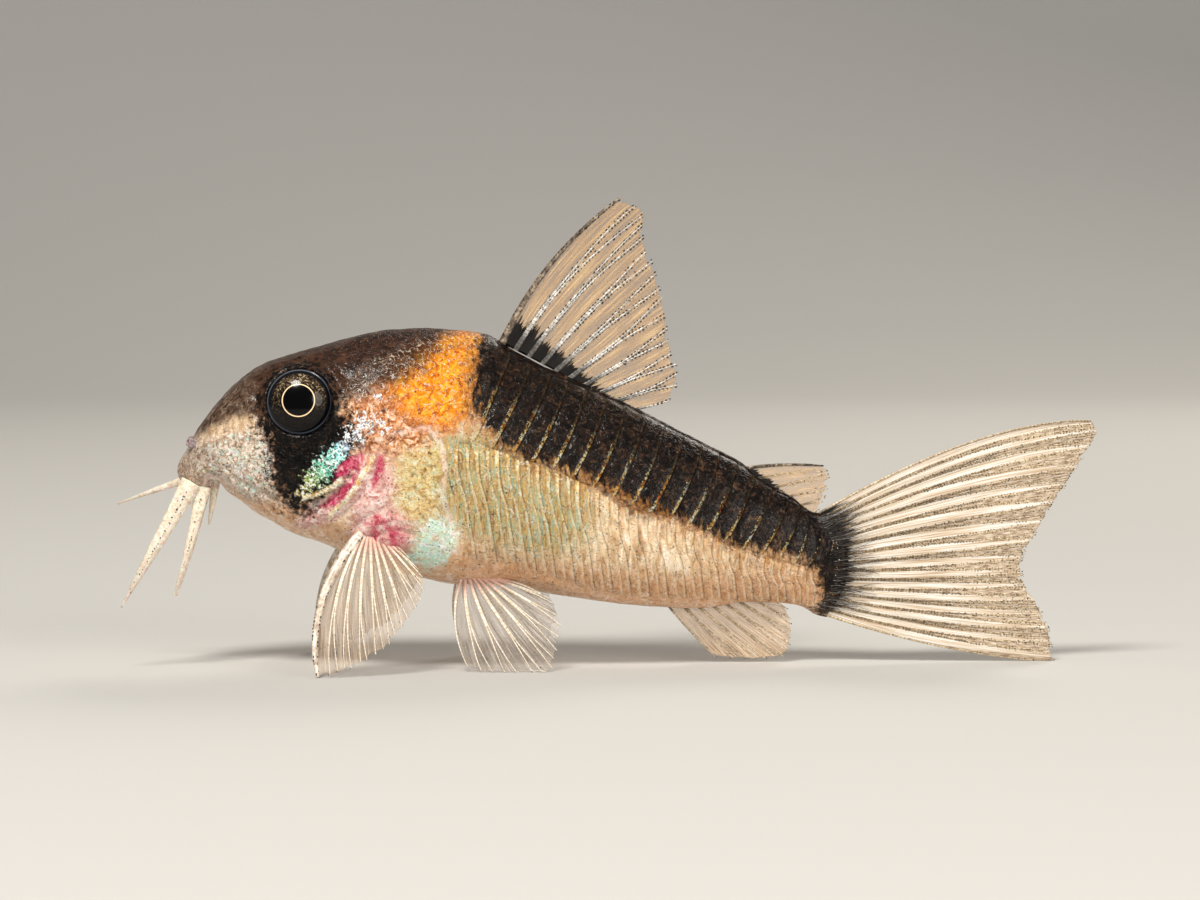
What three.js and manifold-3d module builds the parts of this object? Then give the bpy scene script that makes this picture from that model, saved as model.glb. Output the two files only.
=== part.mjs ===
// A life-size corydoras catfish resting on its fins, in millimetres, +Z up. The snout points along -X
// and the fish's left side faces -Y. The floor is z = 0, and x runs back from the snout tip until the
// last lines centre the model over its origin.
import * as THREE from "three";
import { mergeVertices } from "three/addons/utils/BufferGeometryUtils.js";
import Module from "manifold-3d";

const wasm = await Module();
wasm.setup();

// Driving dimensions
const snoutHeight = 12.9;
const bodyEnd = 44.6; // where the flesh of the tail stalk ends
const snoutRound = 1.6; // how far back the snout's round end reaches
const tailRound = 0.5;
const seam = 0.22; // gap of each thin cut between neighbouring parts
const finThickness = 0.5;
const rayRidge = 0.08; // how far a fin ray stands out of the web on each side
const raySweep = 0.2; // how far a ray's tip stands out past the web
const headEnd = 14.2; // the cut behind the gill opening
const stalkStart = 38.6; // the cut at the end of the adipose fin
const bodySlices = 34;
const bodySides = 24;

// The body's lines: distance back from the snout tip, then the height or size there
const backLine = [
  [0, 14.2], [1.3, 15.45], [3.3, 18.05], [5.5, 19.75], [8.2, 20.7], [12, 21.8], [16.5, 22.2],
  [20.3, 21.95], [23, 20.75], [30, 17.1], [37.2, 13.45], [41, 10.85], [43.4, 10], [bodyEnd, 9.95],
];
const bellyLine = [
  [0, 11.75], [1.1, 11.3], [1.6, 11.5], [2, 12.1], [2.45, 12.35], [2.9, 12.15], [3.3, 11.6], [4, 11.05],
  [8.2, 8.7], [12, 7.25], [16, 5.9], [20.3, 5.35], [25.3, 4.6], [30, 3.9], [34, 3.65], [38.5, 4.05],
  [41, 3.85], [43.4, 3.2], [bodyEnd, 3],
];
const halfWidthLine = [
  [0, 1.5], [3.3, 3.1], [8.2, 4.75], [12, 5.4], [16, 5.7], [20.3, 5.45], [25.3, 4.85],
  [30, 4.05], [34, 3.25], [37.2, 2.5], [41, 1.55], [43.4, 0.75], [bodyEnd, 0.4],
];
const tailCurve = { start: 40.5, height: 6.6, bend: 0.115 }; // the tail root's end bulges towards the fin
const widestShare = [[0, 0.5], [8, 0.45], [16, 0.36], [30, 0.4], [bodyEnd, 0.5]];
const roundAbove = [[0, 2.1], [8, 2.5], [16, 2.1], [22, 1.8], [36, 1.9], [bodyEnd, 2]];
const roundBelow = [[0, 2.2], [8, 2.6], [16, 2.7], [30, 2.3], [bodyEnd, 2]];

const eye = { x: 8.18, z: 17.6, radius: 2.22, depth: 1.3, proud: 0.8, tiltUp: 10, turnForward: 4 };
const gillCover = { x: 11, z: 13, long: 3.3, short: 2.1, lean: 42, thickness: 1 };
const jaw = { start: 2.9, end: 6.6, top: 11.5, height: 4, slope: -22 };
const nostril = { x: 1.15, angle: 46, length: 0.5, base: 0.4, rim: 0.3 };

// Each fan of rays runs from its base line to its edge line. Points are [x, z] from the leading ray to
// the last one, and bow moves the middle of the first and the last ray off the straight line.
const dorsal = {
  base: [[21.5, 21.3], [25.5, 19.3], [29.5, 16.9]],
  edge: [[29.3, 30.9], [30.9, 30.1], [30.9, 28.3], [31.5, 26.5], [32.1, 24.7], [32.5, 22.5],
    [32.8, 20.7], [33.2, 19.1], [32.7, 17.5]],
  bow: [[-1.2, 1.05], [0, -0.2]],
  rays: 9,
};
const adipose = {
  base: [[37.3, 12.9], [39.8, 11.3], [42.2, 9.9]],
  edge: [[42.9, 13.1], [43.3, 12.6], [43.1, 11.4], [42.6, 10.2]],
  bow: [[0, 0.35], [0, 0]],
  rays: 3,
};
const anal = {
  base: [[32.3, 4.1], [35.5, 4.2], [38.7, 4.5]],
  edge: [[35.7, 0.35], [37.6, 0.2], [39.2, 0.22], [40.4, 0.5], [40.8, 1.5], [40.8, 2.6], [40.5, 3.55]],
  bow: [[-0.1, -0.15], [0.1, 0.1]],
  rays: 7,
};
const caudal = {
  base: [[42.1, 9.95], [43.3, 8.7], [43.8, 6.6], [43.3, 4.6], [41.9, 3.4]],
  edge: [[60.9, 16.1], [61.2, 15.2], [59.9, 13], [58.6, 10.9], [57.2, 8.6], [56.2, 6.6], [56.6, 5],
    [57.6, 3.3], [58.2, 1.6], [58.4, -0.1]],
  bow: [[1.7, 3.2], [-0.1, -1.1]],
  rays: 16,
};

// A paired fin's fan lies in a plane that leans out by splay degrees from upright. Its points are
// [back, down] from the root, measured in that plane.
const pectoral = {
  root: [11.75, -4.75, 8.75],
  splay: 25,
  base: [[0.4, -0.3], [1.2, -0.1], [2.2, 0.2]],
  edge: [[-2.4, 9.75], [-1.2, 9.5], [-0.2, 9.05], [0.9, 8.35], [2, 7.6], [2.9, 6.5], [3.9, 5.1],
    [4.5, 3.7], [4.4, 2.6], [3.3, 1.1]],
  bow: [[-2.3, -0.5], [0, -0.15]],
  rays: 10,
};
const pelvic = {
  root: [18.6, -3.1, 5.9],
  splay: 25,
  base: [[0.1, 0], [1.2, -0.1], [2.5, 0]],
  edge: [[0.5, 6.1], [2, 6.6], [4, 6.75], [5.8, 6.6], [6.3, 5.2], [6.7, 3.4], [6.2, 1.7], [5.2, 0.95]],
  bow: [[-1.2, 0.1], [0.1, -0.3]],
  rays: 7,
};
const spineRadius = { base: 0.42, tip: 0.27 };

// Barbels: root, a point that bends them and the tip, for the left side; the right one of the upper
// pair reaches forward instead.
const barbelRadius = { base: 0.6, tip: 0.25 };
const barbels = {
  barbel_upper_left: [[1, -1.5, 12.2], [-0.9, -2.2, 8.9], [-3.6, -2.9, 4.1]],
  barbel_upper_right: [[0.9, 1.5, 12.3], [-1.6, 2.3, 11.5], [-4.1, 3, 10.5]],
  barbel_lower_left: [[1.7, -1.3, 11.9], [1.1, -1.9, 8.5], [-0.2, -2.3, 4.7]],
  barbel_lower_right: [[1.7, 1.3, 11.9], [1.1, 1.9, 8.3], [-0.2, 2.3, 4.4]],
};
const chinBarbel = { root: [2.6, 0.55, 12.6], bend: [2.35, 0.75, 10.9], tip: [2.1, 0.9, 9.4] };
const chinBarbelRadius = { base: 0.34, tip: 0.25 };

// A smooth line through [x, value] points that never overshoots between them
function along(points, x) {
  const last = points.length - 1;
  const slope = points.slice(1).map(([px, value], i) => (value - points[i][1]) / (px - points[i][0]));
  const tangent = points.map((_, i) => {
    if (i === 0) return slope[0];
    if (i === last) return slope[last - 1];
    const product = slope[i - 1] * slope[i];
    return product > 0 ? (2 * product) / (slope[i - 1] + slope[i]) : 0;
  });
  const found = points.findIndex(([px]) => px > x);
  const i = found < 0 ? last - 1 : Math.max(found - 1, 0);
  const width = points[i + 1][0] - points[i][0];
  const t = THREE.MathUtils.clamp((x - points[i][0]) / width, 0, 1);
  const rise = points[i + 1][1] - points[i][1];
  return points[i][1] + t * t * (3 - 2 * t) * rise
    + width * t * (1 - t) * ((1 - t) * tangent[i] - t * tangent[i + 1]);
}

// 0 at the very end of a round end, 1 where the round stretch is over
function roundEnd(distance, reach) {
  const t = 1 - THREE.MathUtils.clamp(distance / reach, 0, 1);
  return Math.sqrt(1 - t * t);
}

// A point of the body's surface grown by some thickness: angle 0 is the left side, 90 degrees the back
function bodyPoint(x, angle, grow = 0) {
  const tip = snoutHeight;
  const shape = roundEnd(x, snoutRound) * roundEnd(bodyEnd - x, tailRound);
  const middle = along(widestShare, x);
  const open = roundEnd(x, snoutRound);
  const back = tip + (along(backLine, x) - tip) * open + grow;
  const belly = tip + (along(bellyLine, x) - tip) * open - grow;
  const widest = belly + (back - belly) * middle;
  const up = Math.sin(angle) > 0;
  const power = 2 / along(up ? roundAbove : roundBelow, x);
  const reach = up ? back - widest : widest - belly;
  const side = Math.sign(Math.cos(angle)) * Math.abs(Math.cos(angle)) ** power;
  const rise = Math.sign(Math.sin(angle)) * Math.abs(Math.sin(angle)) ** power;
  const halfWidth = along(halfWidthLine, x) * shape + grow * Math.min(1, 4 * shape);
  return new THREE.Vector3(x, -halfWidth * side, widest + reach * rise);
}

function bodyNormal(x, angle) {
  const step = 0.02;
  const lengthwise = bodyPoint(x + step, angle).sub(bodyPoint(x - step, angle));
  const around = bodyPoint(x, angle + step).sub(bodyPoint(x, angle - step));
  return lengthwise.cross(around).normalize();
}

// Moves every vertex of a closed three.js geometry and gives back a bare, merged one
function reshape(geometry, move) {
  geometry.deleteAttribute("normal");
  geometry.deleteAttribute("uv");
  const merged = mergeVertices(geometry, 1e-5);
  const position = merged.getAttribute("position");
  const vertex = new THREE.Vector3();
  for (let i = 0; i < position.count; i++) {
    vertex.fromBufferAttribute(position, i);
    const moved = move(vertex);
    position.setXYZ(i, moved.x, moved.y, moved.z);
  }
  return mergeVertices(merged, 1e-5);
}

// Turns a closed geometry into a solid that can be cut and joined
function solid(geometry) {
  const triVerts = new Uint32Array(geometry.index.array);
  const build = (triangles) => new wasm.Manifold(new wasm.Mesh({
    numProp: 3,
    vertProperties: new Float32Array(geometry.getAttribute("position").array),
    triVerts: triangles,
  }));
  const made = build(triVerts);
  return made.volume() < 0 ? build(triVerts.map((_, i) => triVerts[i - (i % 3) + [0, 2, 1][i % 3]])) : made;
}

// The largest piece of a cut solid, without the slivers that a cut can leave
function largest(shape) {
  return shape.decompose().sort((a, b) => b.volume() - a.volume())[0];
}

function geometryOf(shape) {
  const mesh = shape.getMesh();
  const vertices = new Float32Array(mesh.numVert * 3);
  for (let i = 0; i < mesh.numVert; i++) {
    vertices.set(mesh.vertProperties.subarray(i * mesh.numProp, i * mesh.numProp + 3), i * 3);
  }
  const geometry = new THREE.BufferGeometry();
  geometry.setAttribute("position", new THREE.BufferAttribute(vertices, 3));
  geometry.setIndex(new THREE.BufferAttribute(new Uint32Array(mesh.triVerts), 1));
  geometry.computeVertexNormals();
  return geometry;
}

function block(from, to) {
  const size = new THREE.Vector3(...to).sub(new THREE.Vector3(...from));
  const geometry = new THREE.BoxGeometry(size.x, size.y, size.z);
  geometry.translate(...new THREE.Vector3(...from).addScaledVector(size, 0.5).toArray());
  return solid(reshape(geometry, (v) => v));
}

// A sphere's slices become the body's sections, closer together at the round snout
function wholeBody(grow = 0) {
  const sphere = new THREE.SphereGeometry(1, bodySides, bodySlices);
  const length = bodyEnd + 2 * grow;
  return solid(reshape(sphere, (v) => {
    const share = Math.acos(THREE.MathUtils.clamp(v.y, -1, 1)) / Math.PI;
    const eased = share < 0.12 ? share * share / 0.24 : share - 0.06;
    const x = eased / 0.94 * length - grow;
    const spot = bodyPoint(THREE.MathUtils.clamp(x, 0, bodyEnd), Math.atan2(v.z, v.x), grow);
    const curve = THREE.MathUtils.smoothstep(x, tailCurve.start, bodyEnd);
    return spot.setX(x - tailCurve.bend * (spot.z - tailCurve.height) ** 2 * curve);
  }));
}

// A lens-shaped eyeball, turned to look sideways, a little up and forward
function eyeball(grow = 0) {
  const sphere = new THREE.SphereGeometry(1, 18, 9);
  sphere.scale(eye.radius + grow, eye.depth + grow, eye.radius + grow);
  sphere.rotateX(THREE.MathUtils.degToRad(-eye.tiltUp));
  sphere.rotateZ(THREE.MathUtils.degToRad(-eye.turnForward));
  sphere.translate(eye.x, -(sideAt(eye.x, eye.z) + eye.proud - eye.depth), eye.z);
  return solid(reshape(sphere, (v) => v));
}

// How far the body's side is from its middle plane at a height above the widest line
function sideAt(x, z) {
  let low = 0;
  let high = Math.PI / 2;
  for (let i = 0; i < 30; i++) {
    const middle = (low + high) / 2;
    if (bodyPoint(x, middle).z < z) low = middle;
    else high = middle;
  }
  return -bodyPoint(x, low).y;
}

// An upright oval cutter through the left half of the head
function gillCutter(grow, inner) {
  const disc = new THREE.CylinderGeometry(1, 1, 8, 24);
  disc.scale(gillCover.long + grow, 1, gillCover.short + grow);
  disc.rotateY(THREE.MathUtils.degToRad(gillCover.lean));
  disc.translate(gillCover.x, -4 - inner, gillCover.z);
  return solid(reshape(disc, (v) => v));
}

// A tapering limb that follows a curve: the sides of a cylinder are led along it
function tapered(points, radius, { grow = 0, steps = 8, sides = 8 } = {}) {
  const curve = new THREE.QuadraticBezierCurve3(...points);
  const cylinder = new THREE.CylinderGeometry(1, 1, 1, sides, steps);
  const acrossAxis = new THREE.Vector3(0, 1, 0);
  return solid(reshape(cylinder, (v) => {
    const share = 0.5 - v.y;
    const centre = curve.getPoint(share);
    const tangent = curve.getTangent(share);
    if (share > 0.99) centre.addScaledVector(tangent, grow);
    const across = acrossAxis.clone().addScaledVector(tangent, -tangent.y).normalize();
    const upward = tangent.clone().cross(across);
    const size = THREE.MathUtils.lerp(radius.base, radius.tip, share) + grow;
    return centre.addScaledVector(across, v.x * size).addScaledVector(upward, v.z * size);
  }));
}

function lineAt(points, share) {
  const spots = points.map(([x, z]) => new THREE.Vector3(x, 0, z));
  return new THREE.CatmullRomCurve3(spots, false, "centripetal").getPoint(share);
}

// The path of one ray of a fan, as the three points of a quadratic curve in the fan's own plane
function rayOf(fan, share) {
  const root = lineAt(fan.base, share);
  const tip = lineAt(fan.edge, share);
  const [first, last] = fan.bow;
  const fade = Math.max(0, 1 - 2 * share) ** 1.3;
  const rise = Math.max(0, 2 * share - 1) ** 1.3;
  const bend = root.clone().add(tip).multiplyScalar(0.5)
    .add(new THREE.Vector3(first[0], 0, first[1]).multiplyScalar(fade))
    .add(new THREE.Vector3(last[0], 0, last[1]).multiplyScalar(rise));
  return [root, bend, tip];
}

// A fin's web and rays as one plate: two grid columns for each ray, thick on it and thin between
function finPlate(fan, { steps = 5, place = (v) => v } = {}) {
  const columns = 2 * (fan.rays - 1);
  const grid = new THREE.BoxGeometry(1, 1, 1, columns, 1, steps);
  return solid(reshape(grid, (v) => {
    const across = v.x + 0.5;
    const out = 0.5 - v.z;
    const onRay = Math.round(across * columns) % 2 === 0;
    const path = rayOf(fan, across);
    const reach = out > 0.99 && !onRay ? 1 - raySweep / path[0].distanceTo(path[2]) : out;
    const spot = new THREE.QuadraticBezierCurve3(...path).getPoint(reach);
    const half = finThickness / 2 + (onRay ? rayRidge * (1 - out) : 0);
    return place(spot.setY(Math.sign(v.y) * half));
  }));
}

// Leans a paired fin's flat plan out from its root on the left side
function leaning(fin) {
  const splay = THREE.MathUtils.degToRad(fin.splay);
  return (v) => new THREE.Vector3(
    fin.root[0] + v.x,
    fin.root[1] - v.z * Math.sin(splay) + v.y * Math.cos(splay),
    fin.root[2] - v.z * Math.cos(splay) - v.y * Math.sin(splay),
  );
}

function leadingSpine(fan, place, grow = 0) {
  return tapered(rayOf(fan, 0).map((v) => place(v)), spineRadius, { grow, steps: 8, sides: 8 });
}

const colours = {
  flesh: [0xc4a078, 0.45],
  back: [0x2a211e, 0.4],
  snout: [0x6b5646, 0.45],
  gillCover: [0xd7a7a0, 0.35],
  web: [0xd8c8b0, 0.35],
  spine: [0xe4d8c8, 0.35],
  barbel: [0xd9c6ae, 0.4],
  eye: [0x0c0c10, 0.1],
};

function material([color, roughness]) {
  return new THREE.MeshStandardMaterial({ color, roughness, metalness: 0 });
}

const fish = new THREE.Group();

function addPart(name, shape, colour) {
  const mesh = new THREE.Mesh(geometryOf(largest(shape)), material(colour));
  mesh.name = name;
  fish.add(mesh);
}

// A part of the left side and its mirror image on the right
function addPair(name, shape, colour) {
  addPart(name + "_left", shape, colour);
  addPart(name + "_right", shape.mirror([0, 1, 0]), colour);
}

const farOut = 40;
const belowFloor = block([-20, -farOut, -farOut], [90, farOut, 0]);
const body = wholeBody();
const grownBody = wholeBody(seam);
const bothEyes = eyeball(seam).add(eyeball(seam).mirror([0, 1, 0]));

// The head with its eye sockets, its jaw and its gill covers parted by thin cuts
function headParts() {
  const front = body.intersect(block([-5, -farOut, -farOut], [headEnd - seam, farOut, farOut]));
  const jawBlock = (grow) => {
    const wedge = new THREE.BoxGeometry(jaw.end - jaw.start + 2 * grow, 2 * farOut, jaw.height + 2 * grow);
    wedge.translate((jaw.end - jaw.start) / 2, 0, -jaw.height / 2);
    wedge.rotateY(THREE.MathUtils.degToRad(-jaw.slope));
    wedge.translate(jaw.start, 0, jaw.top);
    return solid(reshape(wedge, (v) => v));
  };
  const inside = wholeBody(-gillCover.thickness);
  const insideSeam = wholeBody(-gillCover.thickness - seam);
  const cover = front.intersect(gillCutter(0, 1)).subtract(inside);
  const recess = gillCutter(seam, 1).subtract(insideSeam);
  const head = front
    .subtract(bothEyes)
    .subtract(jawBlock(seam))
    .subtract(recess)
    .subtract(recess.mirror([0, 1, 0]));
  addPart("head", head, colours.snout);
  addPart("lower_jaw", front.intersect(jawBlock(0)), colours.flesh);
  addPair("gill_cover", cover.subtract(bothEyes), colours.gillCover);
}

function trunkParts() {
  const middle = block([headEnd, -farOut, -farOut], [stalkStart - seam, farOut, farOut]);
  const rear = block([stalkStart, -farOut, -farOut], [90, farOut, farOut]);
  addPart("trunk", body.intersect(middle), colours.flesh);
  addPart("tail_stalk", body.intersect(rear), colours.back);
}

function eyes() {
  addPair("eye", eyeball(), colours.eye);
}

function nostrils() {
  const angle = THREE.MathUtils.degToRad(nostril.angle);
  const spot = bodyPoint(nostril.x, angle);
  const out = bodyNormal(nostril.x, angle);
  const root = spot.clone().addScaledVector(out, -0.4);
  const tip = spot.clone().addScaledVector(out, nostril.length);
  const middle = root.clone().add(tip).multiplyScalar(0.5);
  const radius = { base: nostril.base, tip: nostril.rim };
  const tube = tapered([root, middle, tip], radius, { steps: 2, sides: 10 });
  addPair("nostril", tube.subtract(grownBody), colours.snout);
}

// Barbels are parted from the snout and, where two grow from one corner of the mouth, from each other
function mouthBarbels() {
  const spots = (points) => points.map((p) => new THREE.Vector3(...p));
  for (const [name, points] of Object.entries(barbels)) {
    let shape = tapered(spots(points), barbelRadius).subtract(grownBody);
    if (name.startsWith("barbel_lower")) {
      const upper = barbels[name.replace("lower", "upper")];
      shape = shape.subtract(tapered(spots(upper), barbelRadius, { grow: seam }));
    }
    addPart(name, shape, colours.barbel);
  }
  const left = [chinBarbel.root, chinBarbel.bend, chinBarbel.tip].map(([x, y, z]) => [x, -y, z]);
  const chin = tapered(spots(left), chinBarbelRadius, { steps: 5, sides: 8 });
  addPair("chin_barbel", chin.subtract(grownBody), colours.barbel);
}

function middleFins() {
  const flatPlace = (v) => v;
  const spine = leadingSpine(dorsal, flatPlace);
  const web = finPlate(dorsal).subtract(leadingSpine(dorsal, flatPlace, seam));
  addPart("dorsal_spine", spine.subtract(grownBody), colours.spine);
  addPart("dorsal_fin", web.subtract(grownBody), colours.web);
  addPart("adipose_fin", finPlate(adipose, { steps: 3 }).subtract(grownBody), colours.web);
  addPart("anal_fin", finPlate(anal, { steps: 4 }).subtract(grownBody), colours.web);
  addPart("caudal_fin", finPlate(caudal).subtract(grownBody).subtract(belowFloor), colours.web);
}

function pairedFins() {
  const outward = leaning(pectoral);
  const spine = leadingSpine(pectoral, outward);
  const web = finPlate(pectoral, { place: outward }).subtract(leadingSpine(pectoral, outward, seam));
  addPair("pectoral_spine", spine.subtract(grownBody).subtract(belowFloor), colours.spine);
  addPair("pectoral_fin", web.subtract(grownBody).subtract(belowFloor), colours.web);
  const pelvicWeb = finPlate(pelvic, { steps: 4, place: leaning(pelvic) });
  addPair("pelvic_fin", pelvicWeb.subtract(grownBody).subtract(belowFloor), colours.web);
}

headParts();
trunkParts();
eyes();
nostrils();
mouthBarbels();
middleFins();
pairedFins();

// The origin is on the floor, under the middle of the whole fish
const reach = new THREE.Box3().setFromObject(fish);
fish.position.x = -(reach.min.x + reach.max.x) / 2;
const model = new THREE.Group();
model.add(fish);

export default model;
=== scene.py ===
import math
import bpy
import numpy as np
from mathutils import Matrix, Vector, noise


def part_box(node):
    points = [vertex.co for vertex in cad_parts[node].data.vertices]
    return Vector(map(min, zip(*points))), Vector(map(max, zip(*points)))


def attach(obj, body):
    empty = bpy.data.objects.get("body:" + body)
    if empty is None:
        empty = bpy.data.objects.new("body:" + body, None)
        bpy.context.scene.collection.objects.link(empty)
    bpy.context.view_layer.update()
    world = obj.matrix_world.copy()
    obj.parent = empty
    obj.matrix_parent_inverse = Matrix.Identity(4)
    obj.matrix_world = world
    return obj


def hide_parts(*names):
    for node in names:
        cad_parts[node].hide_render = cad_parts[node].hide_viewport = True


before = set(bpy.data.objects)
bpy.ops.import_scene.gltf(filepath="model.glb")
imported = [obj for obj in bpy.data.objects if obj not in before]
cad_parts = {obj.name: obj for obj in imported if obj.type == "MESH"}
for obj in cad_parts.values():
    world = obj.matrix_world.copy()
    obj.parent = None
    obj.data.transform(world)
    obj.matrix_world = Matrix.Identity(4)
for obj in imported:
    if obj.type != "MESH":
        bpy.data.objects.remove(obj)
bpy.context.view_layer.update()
print("frame loaded")

mm = 0.001
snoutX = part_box("head")[0].x  # the snout's tip: every x below is in mm behind it, every z above the floor


# Small tools for numbers

def smoothLine(points, x):  # a line through [x, value] points that never overshoots between them
    px, value = np.array(points, float).T
    width = np.diff(px)
    slope = np.diff(value) / width
    product = slope[:-1] * slope[1:]
    total = np.where(product > 0, slope[:-1] + slope[1:], 1)
    tangent = np.concatenate([slope[:1], np.where(product > 0, 2 * product / total, 0), slope[-1:]])
    x = np.asarray(x, float)
    i = np.clip(np.searchsorted(px, x, side="right") - 1, 0, len(width) - 1)
    t = np.clip((x - px[i]) / width[i], 0, 1)
    rise = value[i + 1] - value[i]
    bulge = width[i] * t * (1 - t) * ((1 - t) * tangent[i] - t * tangent[i + 1])
    return value[i] + t * t * (3 - 2 * t) * rise + bulge


def ease(low, high, x):  # 0 below low, 1 above high, smooth between; low may be the larger
    t = np.clip((np.asarray(x, float) - low) / (high - low), 0, 1)
    return t * t * (3 - 2 * t)


def pathDistance(x, z, path):  # distance to a broken line in the side view, and how far along it (0 to 1)
    path = np.array(path, float)
    best = np.full(np.shape(x), 1e9)
    share = np.zeros(np.shape(x))
    for i in range(len(path) - 1):
        run = path[i + 1] - path[i]
        t = np.clip(((x - path[i, 0]) * run[0] + (z - path[i, 1]) * run[1]) / (run @ run), 0, 1)
        gap = np.hypot(x - path[i, 0] - t * run[0], z - path[i, 1] - t * run[1])
        share = np.where(gap < best, (i + t) / (len(path) - 1), share)
        best = np.minimum(best, gap)
    return best, share


def blob(x, z, centre, radii, turn=0):  # 1 in the middle of an oval, 0 on its edge, negative outside
    a = math.radians(turn)
    dx = (x - centre[0]) * math.cos(a) + (z - centre[1]) * math.sin(a)
    dz = (z - centre[1]) * math.cos(a) - (x - centre[0]) * math.sin(a)
    return 1 - np.hypot(dx / radii[0], dz / radii[1])


def unevenness(points, size, seed):  # soft random heights, about -0.5 to 0.5, lumps of the given size in mm
    shift = Vector((seed * 17.3, seed * 5.1, seed * 9.7))
    flat = points.reshape(-1, 3)
    found = np.array([noise.noise(Vector(p) / size + shift) for p in flat])
    return found.reshape(points.shape[:-1])


# Meshes, curves and pieces

def inScene(points):  # from mm behind the snout to the scene's metres
    place = np.array(points, float).reshape(-1, 3) * mm
    place[:, 0] += snoutX
    return place


def addObject(name, data):
    thing = bpy.data.objects.new(name, data)
    bpy.context.scene.collection.objects.link(thing)
    return thing


def ridePiece(name, mesh):  # every piece rides the fish's one body
    piece = addObject(name, mesh)
    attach(piece, "root")
    return piece


def makePiece(name, points, faces, material):
    mesh = bpy.data.meshes.new(name)
    mesh.from_pydata(inScene(points).tolist(), [], [list(map(int, f)) for f in faces])
    mesh.polygons.foreach_set("use_smooth", [True] * len(mesh.polygons))
    mesh.update()
    mesh.materials.append(material)
    return ridePiece(name, mesh)


def store(piece, layers):  # named numbers, one for each vertex
    for name, values in layers.items():
        layer = piece.data.attributes.new(name, "FLOAT", "POINT")
        layer.data.foreach_set("value", np.ascontiguousarray(values, np.float32).ravel())


def storeMap(piece, uv):  # one uv for each vertex, written to every corner
    layer = piece.data.uv_layers.new(name="OFBake")
    corners = np.zeros(len(piece.data.loops), np.int32)
    piece.data.loops.foreach_get("vertex_index", corners)
    layer.data.foreach_set("uv", np.ascontiguousarray(np.asarray(uv, np.float32)[corners]).ravel())


def skinMap(piece):  # the skin's own unwrap, read from where each vertex lies
    place = np.zeros(3 * len(piece.data.vertices), np.float32)
    piece.data.vertices.foreach_get("co", place)
    x, y, z = (place.reshape(-1, 3).astype(float) - [snoutX, 0, 0]).T / mm
    x = np.clip(x, 0.1, bodyShape["length"] - 0.1)
    back, belly, widest, halfWidth = sectionAt(x)[:4]
    reach = np.where(z > widest, back - widest, widest - belly)
    turn = np.arctan2((z - widest) / reach, -y / halfWidth) + math.pi / 2
    storeMap(piece, np.stack([x / bodyShape["length"], turn % (2 * math.pi) / (2 * math.pi)], axis=-1))


def gridFaces(rows, columns, start=0, closed=False, flip=False):  # a closed grid ends in the next two points
    faces = []
    for i in range(rows - 1):
        for j in range(columns if closed else columns - 1):
            k = (j + 1) % columns
            faces.append([start + i * columns + j, start + i * columns + k,
                          start + (i + 1) * columns + k, start + (i + 1) * columns + j])
    last = rows * columns
    for j in range(columns if closed else 0):
        k = (j + 1) % columns
        faces += [[last, k, j], [last + 1, last - columns + j, last - columns + k]]
    return [face[::-1] for face in faces] if flip else faces


def shell(top, bottom):  # a closed thin body between two grids of the same size
    rows, columns = top.shape[:2]
    count = rows * columns
    faces = gridFaces(rows, columns) + gridFaces(rows, columns, count, flip=True)
    rim = [i * columns for i in range(rows)]
    rim += [(rows - 1) * columns + j for j in range(1, columns)]
    rim += [i * columns + columns - 1 for i in range(rows - 2, -1, -1)]
    rim += list(range(columns - 2, 0, -1))
    faces += [[a, b, b + count, a + count] for a, b in zip(rim, rim[1:] + rim[:1])]
    return np.concatenate([top.reshape(-1, 3), bottom.reshape(-1, 3)]), faces


def tube(path, radii, sides, flatten):  # a closed round limb along a path, with an oval section
    path = np.array(path, float)
    run = np.gradient(path, axis=0)
    run /= np.linalg.norm(run, axis=1)[:, None]
    across = np.cross(run, np.cross([0, 1, 0], run))
    across /= np.linalg.norm(across, axis=1)[:, None]
    upward = np.cross(run, across)
    turn = np.linspace(0, 2 * math.pi, sides, endpoint=False)
    radii = np.asarray(radii, float)[:, None, None]
    ring = path[:, None] + radii * (np.cos(turn)[None, :, None] * across[:, None] * flatten
                                    + np.sin(turn)[None, :, None] * upward[:, None])
    return np.concatenate([ring.reshape(-1, 3), path[:1], path[-1:]]), gridFaces(len(ring), sides, closed=True)


def makeCurves(name, lines):  # lines: (points in mm, radii in mm)
    data = bpy.data.curves.new(name, "CURVE")
    data.dimensions = "3D"
    for points, radii in lines:
        spline = data.splines.new("POLY")
        spline.points.add(len(points) - 1)
        spline.points.foreach_set("co", np.column_stack([inScene(points), np.ones(len(points))]).ravel())
        spline.points.foreach_set("radius", np.asarray(radii, float) * mm)
    return addObject(name, data)


# Node trees

def fill(tree, node, settings=None, links=None):  # capitals and numbers are inputs, small letters properties
    for name, value in (settings or {}).items():
        if name == "stops":
            bar = node.color_ramp.elements
            while len(bar) < len(value):
                bar.new(0.5)
            for stop, (position, colour) in zip(bar, value):
                stop.position = position
                stop.color = linear(colour)
        elif isinstance(name, int) or name[0].isupper():
            isColour = isinstance(value, str) and value[0] == "#"
            node.inputs[name].default_value = linear(value) if isColour else value
        else:
            setattr(node, name, value)
    for name, source in (links or {}).items():  # a node stands for its first output
        tree.links.new(getattr(source, "outputs", [source])[0], node.inputs[name])
    return node


def addNode(tree, kind, settings=None, links=None):  # a kind of one word is a shader node
    return fill(tree, tree.nodes.new(kind if "Node" in kind else "ShaderNode" + kind), settings, links)


def linear(hexColour):
    parts = [int(hexColour[i:i + 2], 16) / 255 for i in (1, 3, 5)]
    return tuple(p / 12.92 if p <= 0.04045 else ((p + 0.055) / 1.055) ** 2.4 for p in parts) + (1,)


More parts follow.
